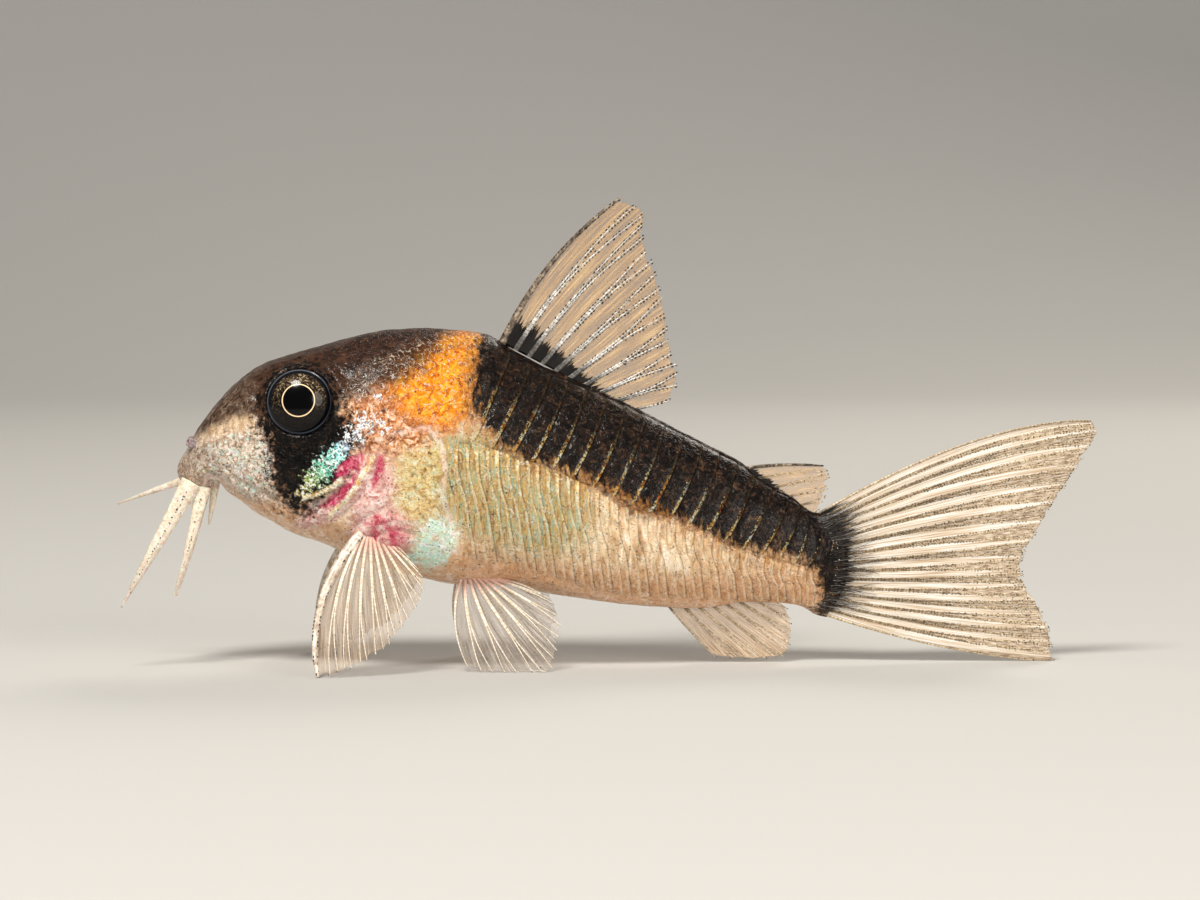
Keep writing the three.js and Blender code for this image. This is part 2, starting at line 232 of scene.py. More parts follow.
def newFinish(name):  # a material, its tree and its shader
    material = bpy.data.materials.new(name)
    material.use_nodes = True
    return material, material.node_tree, material.node_tree.nodes["Principled BSDF"]


def stretched(tree, seed, steps, stretch):  # the piece's own coordinates, stretched, and moved on by each seed
    place = addNode(tree, "TexCoord").outputs["Object"]
    return addNode(tree, "Mapping", {"Scale": stretch, "Location": [seed * step for step in steps]},
                   {"Vector": place})


def grain(tree, size, seed=0, stretch=(1, 1, 1), detail=4.0, wander=0.0):  # uneven values, lumps of size mm
    return addNode(tree, "TexNoise", {"Scale": 1 / (size * mm), "Detail": detail, "Roughness": 0.6,
                                      "Distortion": wander},
                   {"Vector": stretched(tree, seed, (0.013, 0.007, 0.003), stretch)})


def mottle(tree, size, seed, stops, stretch=(1, 1, 1)):  # colours that follow a grain, in curling strokes
    return addNode(tree, "ValToRGB", {"stops": stops}, {0: grain(tree, size, seed, stretch, 3.0, 1.0)})


def awayFrom(tree, value, middle):  # how far a value is from a middle one
    apart = addNode(tree, "Math", {"operation": "SUBTRACT", 1: middle}, {0: value})
    return addNode(tree, "Math", {"operation": "ABSOLUTE"}, {0: apart})


def threads(tree, size, width, seed=0):  # 1 on thin curling lines, as of small skin folds
    gap = awayFrom(tree, grain(tree, size, seed, detail=1.5, wander=0.8), 0.5)
    return addNode(tree, "MapRange", {1: width, 2: width * 0.3, 3: 0.0, 4: 1.0}, {0: gap})


def stain(tree, under, colour, value, low=0.0, high=1.0, top=1.0):  # lays colour where value passes low to high
    mask = addNode(tree, "MapRange", {"interpolation_type": "SMOOTHSTEP", 1: low, 2: high, 3: 0.0, 4: top},
                   {0: value})
    mix = addNode(tree, "Mix", {"data_type": "RGBA"}, {0: mask})
    for i, part in ((6, under), (7, colour)):
        fill(tree, mix, {i: part}) if isinstance(part, str) else fill(tree, mix, links={i: part})
    return mix.outputs[2]


def product(tree, *values):  # several masks in one
    found = values[0]
    for value in values[1:]:
        found = addNode(tree, "Math", {"operation": "MULTIPLY"}, {0: found, 1: value})
    return found


def specks(tree, size, cover, seed):  # 1 in scattered round dots; cover is the share of cells
    cells = addNode(tree, "TexVoronoi", {"Scale": 1 / (size * mm)},
                    {"Vector": stretched(tree, seed, (0.011, 0.017, 0.005), (1, 1, 1))})
    chance = addNode(tree, "SeparateColor", links={0: cells.outputs["Color"]})
    chosen = addNode(tree, "Math", {"operation": "LESS_THAN", 1: cover}, {0: chance})
    near = addNode(tree, "MapRange", {1: 0.4, 2: 0.2, 3: 0.0, 4: 1.0}, {0: cells})
    return product(tree, near, chosen)


def markValue(tree, mark, ragged=0.4, lump=0.5, shift=0.0, seed=1, stretch=(1, 1, 1)):  # a mark with a ragged edge
    stored = addNode(tree, "Attribute", {"attribute_name": mark}).outputs["Fac"]
    uneven = addNode(tree, "Math", {"operation": "MULTIPLY_ADD", 1: 2 * ragged, 2: shift - ragged},
                     {0: grain(tree, lump, seed, stretch)})
    return addNode(tree, "Math", {"operation": "ADD"}, {0: stored, 1: uneven})


def layMark(tree, under, colour, mark, soft=0.3, ragged=0.4, lump=0.5, top=1.0, *edge):
    return stain(tree, under, colour, markValue(tree, mark, ragged, lump, *edge), -soft, soft, top)


def layMarks(tree, under, layers):  # one marking over the other, as a table gives them
    for mark, size, seed, stops, *laid in layers:
        colour = mottle(tree, size, seed, stops) if size else stops
        under = layMark(tree, under, colour, mark, *laid)
    return under


def relief(tree, layers):  # bumps one over the other: (height, depth in mm)
    normal = None
    for height, depth in layers:
        links = {"Height": height, "Normal": normal} if normal else {"Height": height}
        normal = addNode(tree, "Bump", {"Strength": 0.8, "Distance": depth * mm}, links)
    return normal


# The body's form

bodyShape = {
    "length": 44.6,
    "snoutHeight": 12.9,
    "snoutRound": 1.6,
    "tailRound": 0.5,
    "back": [[0, 14.2], [0.7, 14.75], [1.33, 15.6], [2.66, 17.4], [4, 18.8], [5.3, 19.75], [6.65, 20.35], [8, 20.75],
             [10.6, 21.45], [13.3, 22.1], [16, 22.3], [18.6, 22.2], [20.5, 21.9], [22.6, 20.6], [25.3, 19.35],
             [27.9, 18.15], [31.3, 16.55], [33.9, 15.2], [36.2, 14], [37.4, 13.35], [38.4, 12.5], [39.6, 11.7],
             [40.9, 11], [42.6, 10.2], [43.4, 10], [44.6, 9.95]],
    "belly": [[0, 11.75], [1.1, 11.3], [1.6, 11.45], [2.0, 12.1], [2.45, 12.3], [2.9, 12.1], [3.3, 11.55], [4, 11.05],
              [5.3, 10.1], [6.65, 9.3], [8, 8.65], [9.3, 8.2], [12, 7.2], [16, 5.85], [18.3, 5.4], [21.3, 5.3],
              [25.3, 4.6], [30, 3.9], [34, 3.65], [38.5, 4.05], [41, 3.85], [43.4, 3.2], [44.6, 3]],
    "halfWidth": [[0, 1.5], [3.3, 3.1], [8.2, 4.75], [12, 5.4], [16, 5.7], [20.3, 5.45], [25.3, 4.85],
                  [30, 4.05], [34, 3.25], [37.2, 2.5], [41, 1.55], [43.4, 0.65], [44.6, 0.2]],
    "tailCurve": {"start": 40.5, "height": 6.6, "bend": 0.115},  # the tail root bulges towards the fin
    "widestShare": [[0, 0.5], [8, 0.45], [16, 0.36], [30, 0.4], [44.6, 0.5]],
    "roundAbove": [[0, 2.1], [8, 2.5], [16, 2.1], [22, 1.8], [36, 1.9], [44.6, 2]],
    "roundBelow": [[0, 2.2], [8, 2.6], [16, 2.7], [30, 2.3], [44.6, 2]],
}


def roundEnd(distance, reach):  # 0 at the tip of a round end, 1 where it is over
    t = 1 - np.clip(distance / reach, 0, 1)
    return np.sqrt(1 - t * t)


def sectionAt(x):  # back, belly and widest height, half width and the two powers of the oval
    b = bodyShape
    openness = roundEnd(x, b["snoutRound"])
    back = b["snoutHeight"] + (smoothLine(b["back"], x) - b["snoutHeight"]) * openness
    belly = b["snoutHeight"] + (smoothLine(b["belly"], x) - b["snoutHeight"]) * openness
    widest = belly + (back - belly) * smoothLine(b["widestShare"], x)
    halfWidth = smoothLine(b["halfWidth"], x) * openness * roundEnd(b["length"] - x, b["tailRound"])
    return back, belly, widest, halfWidth, 2 / smoothLine(b["roundAbove"], x), 2 / smoothLine(b["roundBelow"], x)


def bodyPoint(x, angle, grow=0.0):  # angle 0 is the left side, 90 degrees the back
    x, angle = np.broadcast_arrays(np.asarray(x, float), np.asarray(angle, float))
    back, belly, widest, halfWidth, above, below = sectionAt(x)
    up = np.sin(angle) > 0
    power = np.where(up, above, below)
    reach = np.where(up, back - widest, widest - belly)
    side = np.sign(np.cos(angle)) * np.abs(np.cos(angle)) ** power
    rise = np.sign(np.sin(angle)) * np.abs(np.sin(angle)) ** power
    z = widest + reach * rise
    tail = bodyShape["tailCurve"]
    pulled = x - tail["bend"] * (z - tail["height"]) ** 2 * ease(tail["start"], bodyShape["length"], x)
    points = np.stack([pulled, -halfWidth * side, z], axis=-1)
    if np.any(grow):
        points = points + bodyNormal(x, angle) * np.asarray(grow, float)[..., None]
    return points


def bodyNormal(x, angle):
    h = 0.03
    x = np.clip(x, h, bodyShape["length"] - h)
    lengthwise = bodyPoint(x + h, angle) - bodyPoint(x - h, angle)
    around = bodyPoint(x, angle + h) - bodyPoint(x, angle - h)
    normal = np.cross(lengthwise, around)
    return normal / np.maximum(np.linalg.norm(normal, axis=-1), 1e-9)[..., None]


def angleAt(x, z):  # the angle on the left side at which the body's surface has the height z
    back, belly, widest, _, above, below = sectionAt(x)
    up = z > widest
    reach = np.where(up, back - widest, widest - belly)
    rise = np.clip(np.abs(z - widest) / reach, 0, 1) ** (1 / np.where(up, above, below))
    return np.where(up, 1, -1) * np.arcsin(rise)


# The armour: two rows of plates on each flank

plates = {
    "middle": [[17, 15], [19.9, 14.75], [25.3, 12.95], [29.3, 10.95], [33.9, 9.25], [37.6, 7.6], [41.2, 6.6],
               [44.6, 6.4]],  # the line where the rows meet
    "foot": [[17, 7.3], [20, 6.9], [22, 6.5], [26, 5.2], [30, 4.3], [36, 4.05], [44.6, 3.4]],
    "upperStart": 17.95,
    "lowerStart": 17.75,
    "end": 43.0,
    "pitch": [[17, 1.36], [30, 1.27], [44, 1.08]],
    "upperLean": 0.75,  # how far an upper plate's edge first runs back for each mm of its height
    "lowerLean": 0.2,
    "overlap": 1.1,  # a plate reaches this share of the pitch, over the start of the next one
    "skinDrop": 0.13,  # the skin lies this far under the plates
    "rib": 0.2,
    "steps": [0, 0.1, 0.25, 0.37, 0.43, 0.48, 0.53, 0.6, 0.72, 0.84, 0.91, 0.96, 1.0],
    # from a plate's front to its rear
    "rows": {True: 26, False: 24},  # up an upper plate, and down a lower one
    "tailSink": 0.2,  # the last plates sink into the tail's root
    "pointLine": 0.86,  # where across a plate its enamel points sit
}
enamelPoints = {"upper": {"Spacing": 0.13, "Size": 0.024, "Chance": 0.45},
                "lower": {"Spacing": 0.2, "Size": 0.022, "Chance": 0.35}}


def plateStarts(first):
    starts = [first]
    while starts[-1] < plates["end"] - 0.6:
        starts.append(starts[-1] + float(smoothLine(plates["pitch"], starts[-1])))
    return starts


def plateSurface(start, s, t, upper):  # s runs front to rear, t from the middle line to the far end
    middle = smoothLine(plates["middle"], start)
    back, belly = sectionAt(np.float64(start))[:2]
    if upper:
        lean = plates["upperLean"] * (back - middle) * (t - 0.5 * t * t)
    else:
        lean = plates["lowerLean"] * (middle - belly) * t * (1 - 0.35 * t)
        lean = lean - 0.26 * np.sin(np.clip(t * 9, 0, math.pi))
    pitch = smoothLine(plates["pitch"], start)
    x = np.clip(start + lean + s * pitch * plates["overlap"], 0, 43.9)
    near = angleAt(x, smoothLine(plates["middle"], x))
    far = math.radians(87) if upper else angleAt(x, smoothLine(plates["foot"], x))
    return x, near + (far - near) * t


def plateLift(s, t, upper):
    rib = 0.55 * ease(0.0, 0.4, s) + 0.45 * ease(0.2, 0.9, s)
    if not upper:  # a second, finer furrow down the middle of each lower plate
        rib = rib - 0.3 * np.exp(-((s - 0.48) / 0.09) ** 2)
    tips = ease(0, 0.05, t) * ease(1, 0.78, t)
    return -plates["skinDrop"] - 0.03 + (plates["rib"] + 0.03) * (rib * tips - 0.35 * ease(0.88, 1.0, s))


# Marks of the head and flank in the side view, in mm

eye = {"x": 8.18, "z": 17.6, "radius": 2.2, "proud": 0.8, "depth": 1.3, "tiltUp": 10, "turnForward": 4}
bandFront = [[6, 21.3], [15, 20.1], [17.5, 19.6], [20, 19.8], [22.5, 20.3]]  # z, x
bandFoot = [[18, 18.1], [19.95, 16.8], [21.3, 15.1], [25.3, 13.35], [27.9, 12.3], [31.3, 10.85], [34.6, 9.3],
            [37.9, 7.9],
            [40.2, 7.5], [41.4, 7.0], [42.4, 6.2], [43, 5], [44.6, 2]]
headLine = [[0, 13.9], [1.2, 15.0], [2.5, 15.9], [4.4, 16.6], [6, 16.4], [8.5, 15.5], [10.2, 18.2], [11.4, 19.0],
            [12.6, 20.1], [14.6, 21.0], [15.8, 21.5], [18, 22.2], [19.6, 22.6], [21, 19], [30, 10]]
throatLine = [[0, 11.6], [2, 12.6], [3.3, 12.6], [6, 11.6], [8, 10.2], [10, 9.3], [13, 8], [16, 7], [20, 6.2],
              [30, 4.6], [44.6, 3.5]]
maskShape = [[5.6, 16.6], [6.1, 14.9], [6.4, 13.8], [6.3, 12.8], [6.9, 11.6], [7.6, 10.8], [8.3, 10.5], [9.8, 11.5],
             [10.9, 12.3], [11.3, 13.9], [11.9, 15.6], [10.8, 16.9], [9, 17.5]]
orangeShape = [[14.2, 18.3], [14.7, 20.1], [16.3, 21.4], [18.4, 22.6], [20.6, 22.6], [19.9, 19.5], [19.5, 17.1],
               [17.5, 16.3], [15.4, 17.1]]
shoulderShape = [[14.3, 10.8], [14.5, 15.2], [15.6, 16.1], [17.1, 15.8], [17.65, 14.3], [17.5, 12.4], [17.1, 11],
                 [17.6, 9.2], [15.8, 9.4]]
gleamPath = [[8.2, 11.6], [9.3, 12.9], [10.6, 14.3], [11.4, 15.1]]
glintSpots = [[11.7, 15.7, 0.65], [12.3, 16.4, 0.7], [13.1, 16.4, 0.6], [12.2, 15.2, 0.5],  # x, z, size
              [13.8, 15.8, 0.45], [13.2, 18, 0.3]]
crimsonShapes = [[[10.5, 13.2], [11.3, 14.0], [12.2, 14.4], [12.4, 13.8], [11.6, 13.1], [10.6, 12.6]],
                 [[9.4, 10.9], [10.4, 11.7], [11.3, 12.5], [12.3, 13.3], [11.9, 12.3], [11.2, 11.5], [10.6, 10.9],
                  [9.9, 10.65]],
                 [[12.6, 11.7], [13.0, 12.7], [13.2, 14.1], [13.7, 14.2], [13.6, 13.2], [13.1, 12.2]]]
rimPaths = [[[10.1, 10.2], [11.1, 11.2], [11.8, 12.1], [12.2, 12.8], [12.6, 13.4], [13, 14.1]],
            [[8.5, 11.4], [9.6, 11.8], [10.4, 12.2], [10.9, 12.6]], [[12.1, 12.8], [12.6, 13.4], [12.7, 13.5]]]
foldPaths = [[[8.9, 10.85], [9.8, 11.3], [11.3, 12.65], [12.2, 13.4]], [[11.6, 10.5], [12.7, 10.75], [13.9, 10.5]],
             [[11.1, 9], [11.8, 9.3], [12.9, 9.4], [14.1, 9.75], [15.1, 9.9], [16.1, 9.5], [17.5, 8.6]],
             [[14.3, 15.6], [15.4, 15.9], [16.6, 16], [17.4, 14.9], [17.7, 13.2], [17.4, 11.8], [17.9, 10.3],
              [18.2, 8.9]]]
rootArc = [[12.6, 8.4], [13.0, 8.8], [13.3, 10.1], [13.9, 9.6], [14.35, 8.9], [14.35, 8.3], [13.7, 7.8]]
shoulderEdge = [[16.4, 16.2], [17.3, 15.2], [17.7, 14.2], [17.7, 13.2], [17.1, 12.1], [17.4, 10.4], [17.9, 8],
                [17.8, 7.2]]


def insideShape(x, z, corners):  # distance to a closed outline, positive inside it
    gap = pathDistance(x, z, corners + corners[:1])[0]
    inside = np.zeros(np.shape(x), bool)
    for (ax, az), (bx, bz) in zip(corners, corners[1:] + corners[:1]):
        crosses = (az > z) != (bz > z)
        with np.errstate(divide="ignore", invalid="ignore"):
            inside ^= crosses & (x < ax + (z - az) / (bz - az) * (bx - ax))
    return np.where(inside, gap, -gap)


def nearest(x, z, paths):
    return np.min([pathDistance(x, z, path)[0] for path in paths], axis=0)


def marksAt(points):  # where each marking lies; above 0 is inside it, in mm or in shares of its size
    x, z = points[..., 0], points[..., 2]
    gleamGap, gleamRun = pathDistance(x, z, gleamPath)
    return {
        "band": np.minimum(x - smoothLine(bandFront, z), z - smoothLine(bandFoot, x)),
        "tailBar": x - 43.1 + 0.07 * (z - 6.6) ** 2,
        "headDark": z - smoothLine(headLine, x),
        "crown": blob(x, z, (12, 21.5), (7.5, 3.4), 20),
        "mask": np.maximum(insideShape(x, z, maskShape), 2.62 - np.hypot(x - eye["x"], z - eye["z"])),
        "orange": insideShape(x, z, orangeShape),
        "amber": blob(x, z, (14.6, 17.4), (4.6, 2.9), 30),
        "shoulder": insideShape(x, z, shoulderShape),
        "gleam": np.max([0.48 + 0.44 * np.sin(math.pi * gleamRun) - gleamGap]
                        + [size - np.hypot(x - gx, z - gz) for gx, gz, size in glintSpots], axis=0),
        "gleamRun": gleamRun + 0.12 * np.clip(z - 15.1, 0, 2),
        "crimson": np.max([insideShape(x, z, shape) for shape in crimsonShapes], axis=0),
        "gillRim": 0.15 - nearest(x, z, rimPaths),
        "fold": 0.13 - nearest(x, z, foldPaths),
        "rootRed": 0.22 - pathDistance(x, z, rootArc)[0],
        "pink": np.maximum(blob(x, z, (13.2, 11), (1.9, 3.9), 10), blob(x, z, (9.9, 10.5), (2.2, 0.7), 28)),
        "root": blob(x, z, (13.5, 8.9), (1.9, 1.5), 10),
        "mint": np.maximum(blob(x, z, (16.9, 8.4), (1.35, 1.8), -30), blob(x, z, (15.4, 7.3), (0.6, 0.4), 20)),
        "throat": smoothLine(throatLine, x) - z,
        "cheek": np.maximum(blob(x, z, (4.4, 13.8), (3.2, 2.1), 5), blob(x, z, (4.9, 12.2), (2.0, 1.1), -25)),
        "lip": np.maximum(blob(x, z, (2.6, 12.15), (0.85, 0.5), -15), 1 - mouthGap(points) / 0.6),
        "snout": blob(x, z, (1.0, 13.4), (1.7, 1.9), 0),
        "glow": blob(x, z, (21.6, 11.8), (6.4, 3.6), -25),
        "under": 2.4 - (z - smoothLine(bodyShape["belly"], x)),
        "mouth": 0.14 - mouthGap(points),
    }


def mouthGap(points):  # distance from the mouth's slit, seen from below
    gap = pathDistance(points[..., 0], points[..., 1], mouth["slit"])[0]
    return np.where(points[..., 2] < mouth["below"], gap, 9.0)


creases = [  # side-view path, width and depth in mm: negative is a groove, positive a ridge
    ([[8.2, 10.0], [9.4, 10.7], [10.6, 11.7], [11.6, 12.9], [12.4, 14.2], [12.6, 15.6]], 0.22, -0.26),
    (rimPaths[0], 0.2, 0.16),
    (rimPaths[1], 0.16, 0.1),
    ([[10.6, 10.2], [12.3, 11.6], [13.3, 13.2], [13.6, 15.0]], 0.24, -0.2),
    (shoulderEdge, 0.16, 0.12),
    ([[17.95, 8.6], [18, 12.5], [17.85, 15.8]], 0.16, -0.12),
    ([[11.4, 8.3], [12.6, 9.5], [14, 10.2], [15.6, 9.9]], 0.2, 0.14),
    ([[11.2, 8.9], [12.4, 10.1], [14, 10.9]], 0.16, -0.1),
    ([[11.9, 7.8], [13, 8.9], [14.4, 9.4], [15.6, 9]], 0.16, -0.13),
    ([[12.6, 7.7], [13.7, 8.4], [15, 8.5]], 0.15, 0.12),
    ([[6.1, 11.2], [8.2, 13.3], [9.8, 15], [11, 16.6]], 0.14, -0.07),
    ([[3.6, 12.6], [5.2, 11.9], [7.2, 10.7]], 0.2, -0.1),
    ([[1.5, 12.35], [2.2, 12.85], [2.9, 12.75], [3.45, 12.15], [3.5, 11.7]], 0.11, -0.16),
    ([[1.6, 12.75], [2.3, 13.15], [3.2, 13.0], [3.8, 12.3]], 0.14, 0.09),
    ([[1.2, 15.3], [3.6, 15.6], [5.2, 16.5]], 0.2, -0.05),
    ([[13.4, 16.5], [14.7, 18], [16, 20]], 0.2, -0.06),
    ([[11.4, 17.2], [13.2, 18.9], [14.3, 20.7]], 0.22, 0.05),
    ([[6.2, 19.6], [8.4, 20.3], [10.8, 19.9]], 0.3, 0.07),
]
mouth = {"slit": [[2.15, -1.25], [1.75, -0.8], [1.6, 0], [1.75, 0.8], [2.15, 1.25]], "below": 13.0,  # x, y from below
         "width": 0.12, "depth": 0.3, "lip": 0.13, "lipWidth": 0.16}
nostrilPit = {"x": 4.45, "z": 17.35, "radius": 0.38}


def reliefAt(points, facing):  # how far the skin stands off the body's form, in mm; facing is 1 on the flanks
    x, z, side = points[..., 0], points[..., 2], np.abs(points[..., 1])
    lift = np.zeros(x.shape)
    for path, width, depth in creases:
        gap = pathDistance(x, z, path)[0]
        lift += depth * np.exp(-(gap / width) ** 2) * facing
    flank = ease(0.5, 0.9, facing)
    fromEye = np.hypot(x - eye["x"], z - eye["z"])
    lift += flank * (-1.1 * ease(eye["radius"] - 0.02, eye["radius"] - 0.5, fromEye)
                     + 0.12 * np.exp(-((fromEye - eye["radius"] - 0.12) / 0.15) ** 2)
                     - 0.14 * np.exp(-((fromEye - eye["radius"] - 0.7) / 0.35) ** 2))
    fromPit = np.hypot(x - nostrilPit["x"], z - nostrilPit["z"]) / nostrilPit["radius"]
    lift += ease(0.3, 0.6, facing) * (0.11 * np.exp(-((fromPit - 1) / 0.28) ** 2) - 0.16 * ease(0.9, 0.3, fromPit))
    lift += flank * 0.22 * np.clip(blob(x, z, (10.2, 13), (2.9, 2)), 0, 1)  # the gill cover's swell
    lift += flank * 0.3 * np.clip(blob(x, z, (13.5, 8.8), (1.9, 1.4), 20), 0, 1)  # the pectoral fin's root
    gap = mouthGap(points)
    lift -= mouth["depth"] * np.exp(-(gap / mouth["width"]) ** 2)
    lift += mouth["lip"] * np.exp(-((gap - 2.8 * mouth["width"]) / mouth["lipWidth"]) ** 2)
    middle, back = smoothLine(plates["middle"], x), smoothLine(bodyShape["back"], x)
    share = np.clip((z - middle) / (back - middle), 0, 1)
    lean = plates["upperLean"] * (back - middle) * (share - 0.5 * share**2)
    front = np.where(z > middle, plates["upperStart"] + lean, plates["lowerStart"])
    armour = ease(-0.1, 0.35, x - front)
    armour *= ease(-0.2, 0.5, z - smoothLine(plates["foot"], x)) * ease(0.15, 0.5, side)
    lift -= plates["skinDrop"] * armour
    return lift


skinDetail = {"slices": 430, "sides": 204, "headShare": 0.5, "headLength": 17.0, "tipSlices": 14}
plateMarks = ["along", "edgeFade", "knee", "armour"]  # drawn on the plates only, so they are 0 on the skin


def makeSkin(material):
    share = np.linspace(0, 1, skinDetail["slices"])  # slices are closer on the head and at the snout's tip
    x = np.interp(share, [0, 0.03, skinDetail["headShare"], 1],
                  [0.012, 0.35, skinDetail["headLength"], bodyShape["length"] - 0.004])
    x[:skinDetail["tipSlices"]] = 0.012 + 0.34 * np.linspace(0, 1, skinDetail["tipSlices"]) ** 2
    around = np.linspace(0, 2 * math.pi, skinDetail["sides"], endpoint=False) - math.pi / 2
    x, angle = np.meshgrid(x, around, indexing="ij")
    base = bodyPoint(x, angle)
    normal = bodyNormal(x, angle)
    lift = reliefAt(base, np.clip(np.abs(normal[..., 1]) * 1.5, 0, 1))
    lift += 0.07 * unevenness(base, 1.6, 1) + 0.035 * unevenness(base, 0.55, 2) * ease(22, 14, x)
    ends = ease(0, 1.2, x) * ease(bodyShape["length"], bodyShape["length"] - 0.8, x)
    points = base + normal * (lift * ends)[..., None]
    tips = [points[0].mean(axis=0) - [0.02, 0, 0], points[-1].mean(axis=0) + [0.02, 0, 0]]
    faces = gridFaces(*x.shape, closed=True, flip=True)
    skin = makePiece("skin", np.concatenate([points.reshape(-1, 3), tips]), faces, material)
    marked = np.concatenate([base.reshape(-1, 3), tips])
    store(skin, marksAt(marked))
    store(skin, {name: np.zeros(len(marked)) for name in plateMarks})
    uv = np.stack([x / bodyShape["length"], (angle + math.pi / 2) / (2 * math.pi)], axis=-1).reshape(-1, 2)
    storeMap(skin, np.concatenate([uv, [[0, 0.5], [1, 0.5]]]))
    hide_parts("head", "lower_jaw", "trunk", "tail_stalk", "gill_cover_left", "gill_cover_right")


def makePlates(material):  # returns the lines along the plates' rear edges, where the enamel points sit
    points, faces, marks, uvs = [], [], [], []
    layers = {name: [] for name in plateMarks}
    edgeLines = {True: [], False: []}
    count = 0
    for upper in (True, False):
        s, t = np.meshgrid(plates["steps"], np.linspace(0, 1, plates["rows"][upper]), indexing="ij")
        twice = np.where(s < 0.505, s / 0.505, (s - 0.505) / 0.495)  # each lower plate has two ridges
        # the strength of the painted glint on each plate's rear edge, strongest near the middle line and gone at the
        # tail's root
        fade = 0.88 * ease(0.5, 0.0, t) + 0.12 if upper else 0.6 * ease(0.95, 0.2, t) + 0.1
        for start in plateStarts(plates["upperStart" if upper else "lowerStart"]):
            x, angle = plateSurface(start, s, t, upper)
            sunk = plates["tailSink"] * ease(42.2, 43.6, x)
            top = bodyPoint(x, angle, plateLift(s, t, upper) - sunk)
            foot = bodyPoint(x, angle, -plates["skinDrop"] - 0.09 - sunk)
            bare = bodyPoint(x, angle)
            v = (angle + math.pi / 2) / (2 * math.pi)
            found = {"along": s if upper else twice, "edgeFade": fade * ease(42.6, 41, x),
                     "knee": 0 * t if upper else ease(0.24, 0.02, t) * ease(33, 26, x), "armour": 0 * t + 1}
            for side in (1, -1):
                mirror = np.array([1, side, 1])
                body, quads = shell(top * mirror, foot * mirror)
                turned = (side == 1) != upper
                faces += [[count + i for i in (quad if turned else quad[::-1])] for quad in quads]
                points.append(body)
                marks.append(np.concatenate([(bare * mirror).reshape(-1, 3)] * 2))
                for name, values in found.items():
                    layers[name].append(np.tile(values.ravel(), 2))
                uv = np.stack([x / bodyShape["length"], v if side == 1 else 1 - v], -1)
                uvs.append(np.tile(uv.reshape(-1, 2), (2, 1)))
                count += len(body)
                run = np.linspace(0.02, 0.36 if upper else 0.8, 40)
                edge = np.full(40, plates["pointLine"])
                line = bodyPoint(*plateSurface(start, edge, run, upper), plateLift(edge, run, upper) + 0.01)
                edgeLines[upper].append((line * mirror, np.full(40, 0.03)))
    armour = makePiece("flank_plates", np.concatenate(points), faces, material)
    store(armour, marksAt(np.concatenate(marks)))
    store(armour, {name: np.concatenate(values) for name, values in layers.items()})
    storeMap(armour, np.concatenate(uvs))
    return edgeLines


# Skin: moist, thin and partly see-through over bone, with pigment cells, so colours break up into grains and threads.
# Each row: mark, grain in mm or 0 for a plain colour, seed, (share of the grain, colour), then the softness of its
# edge, raggedness and size of lumps in mm, strength, shift outwards, and the lumps' seed and stretch.

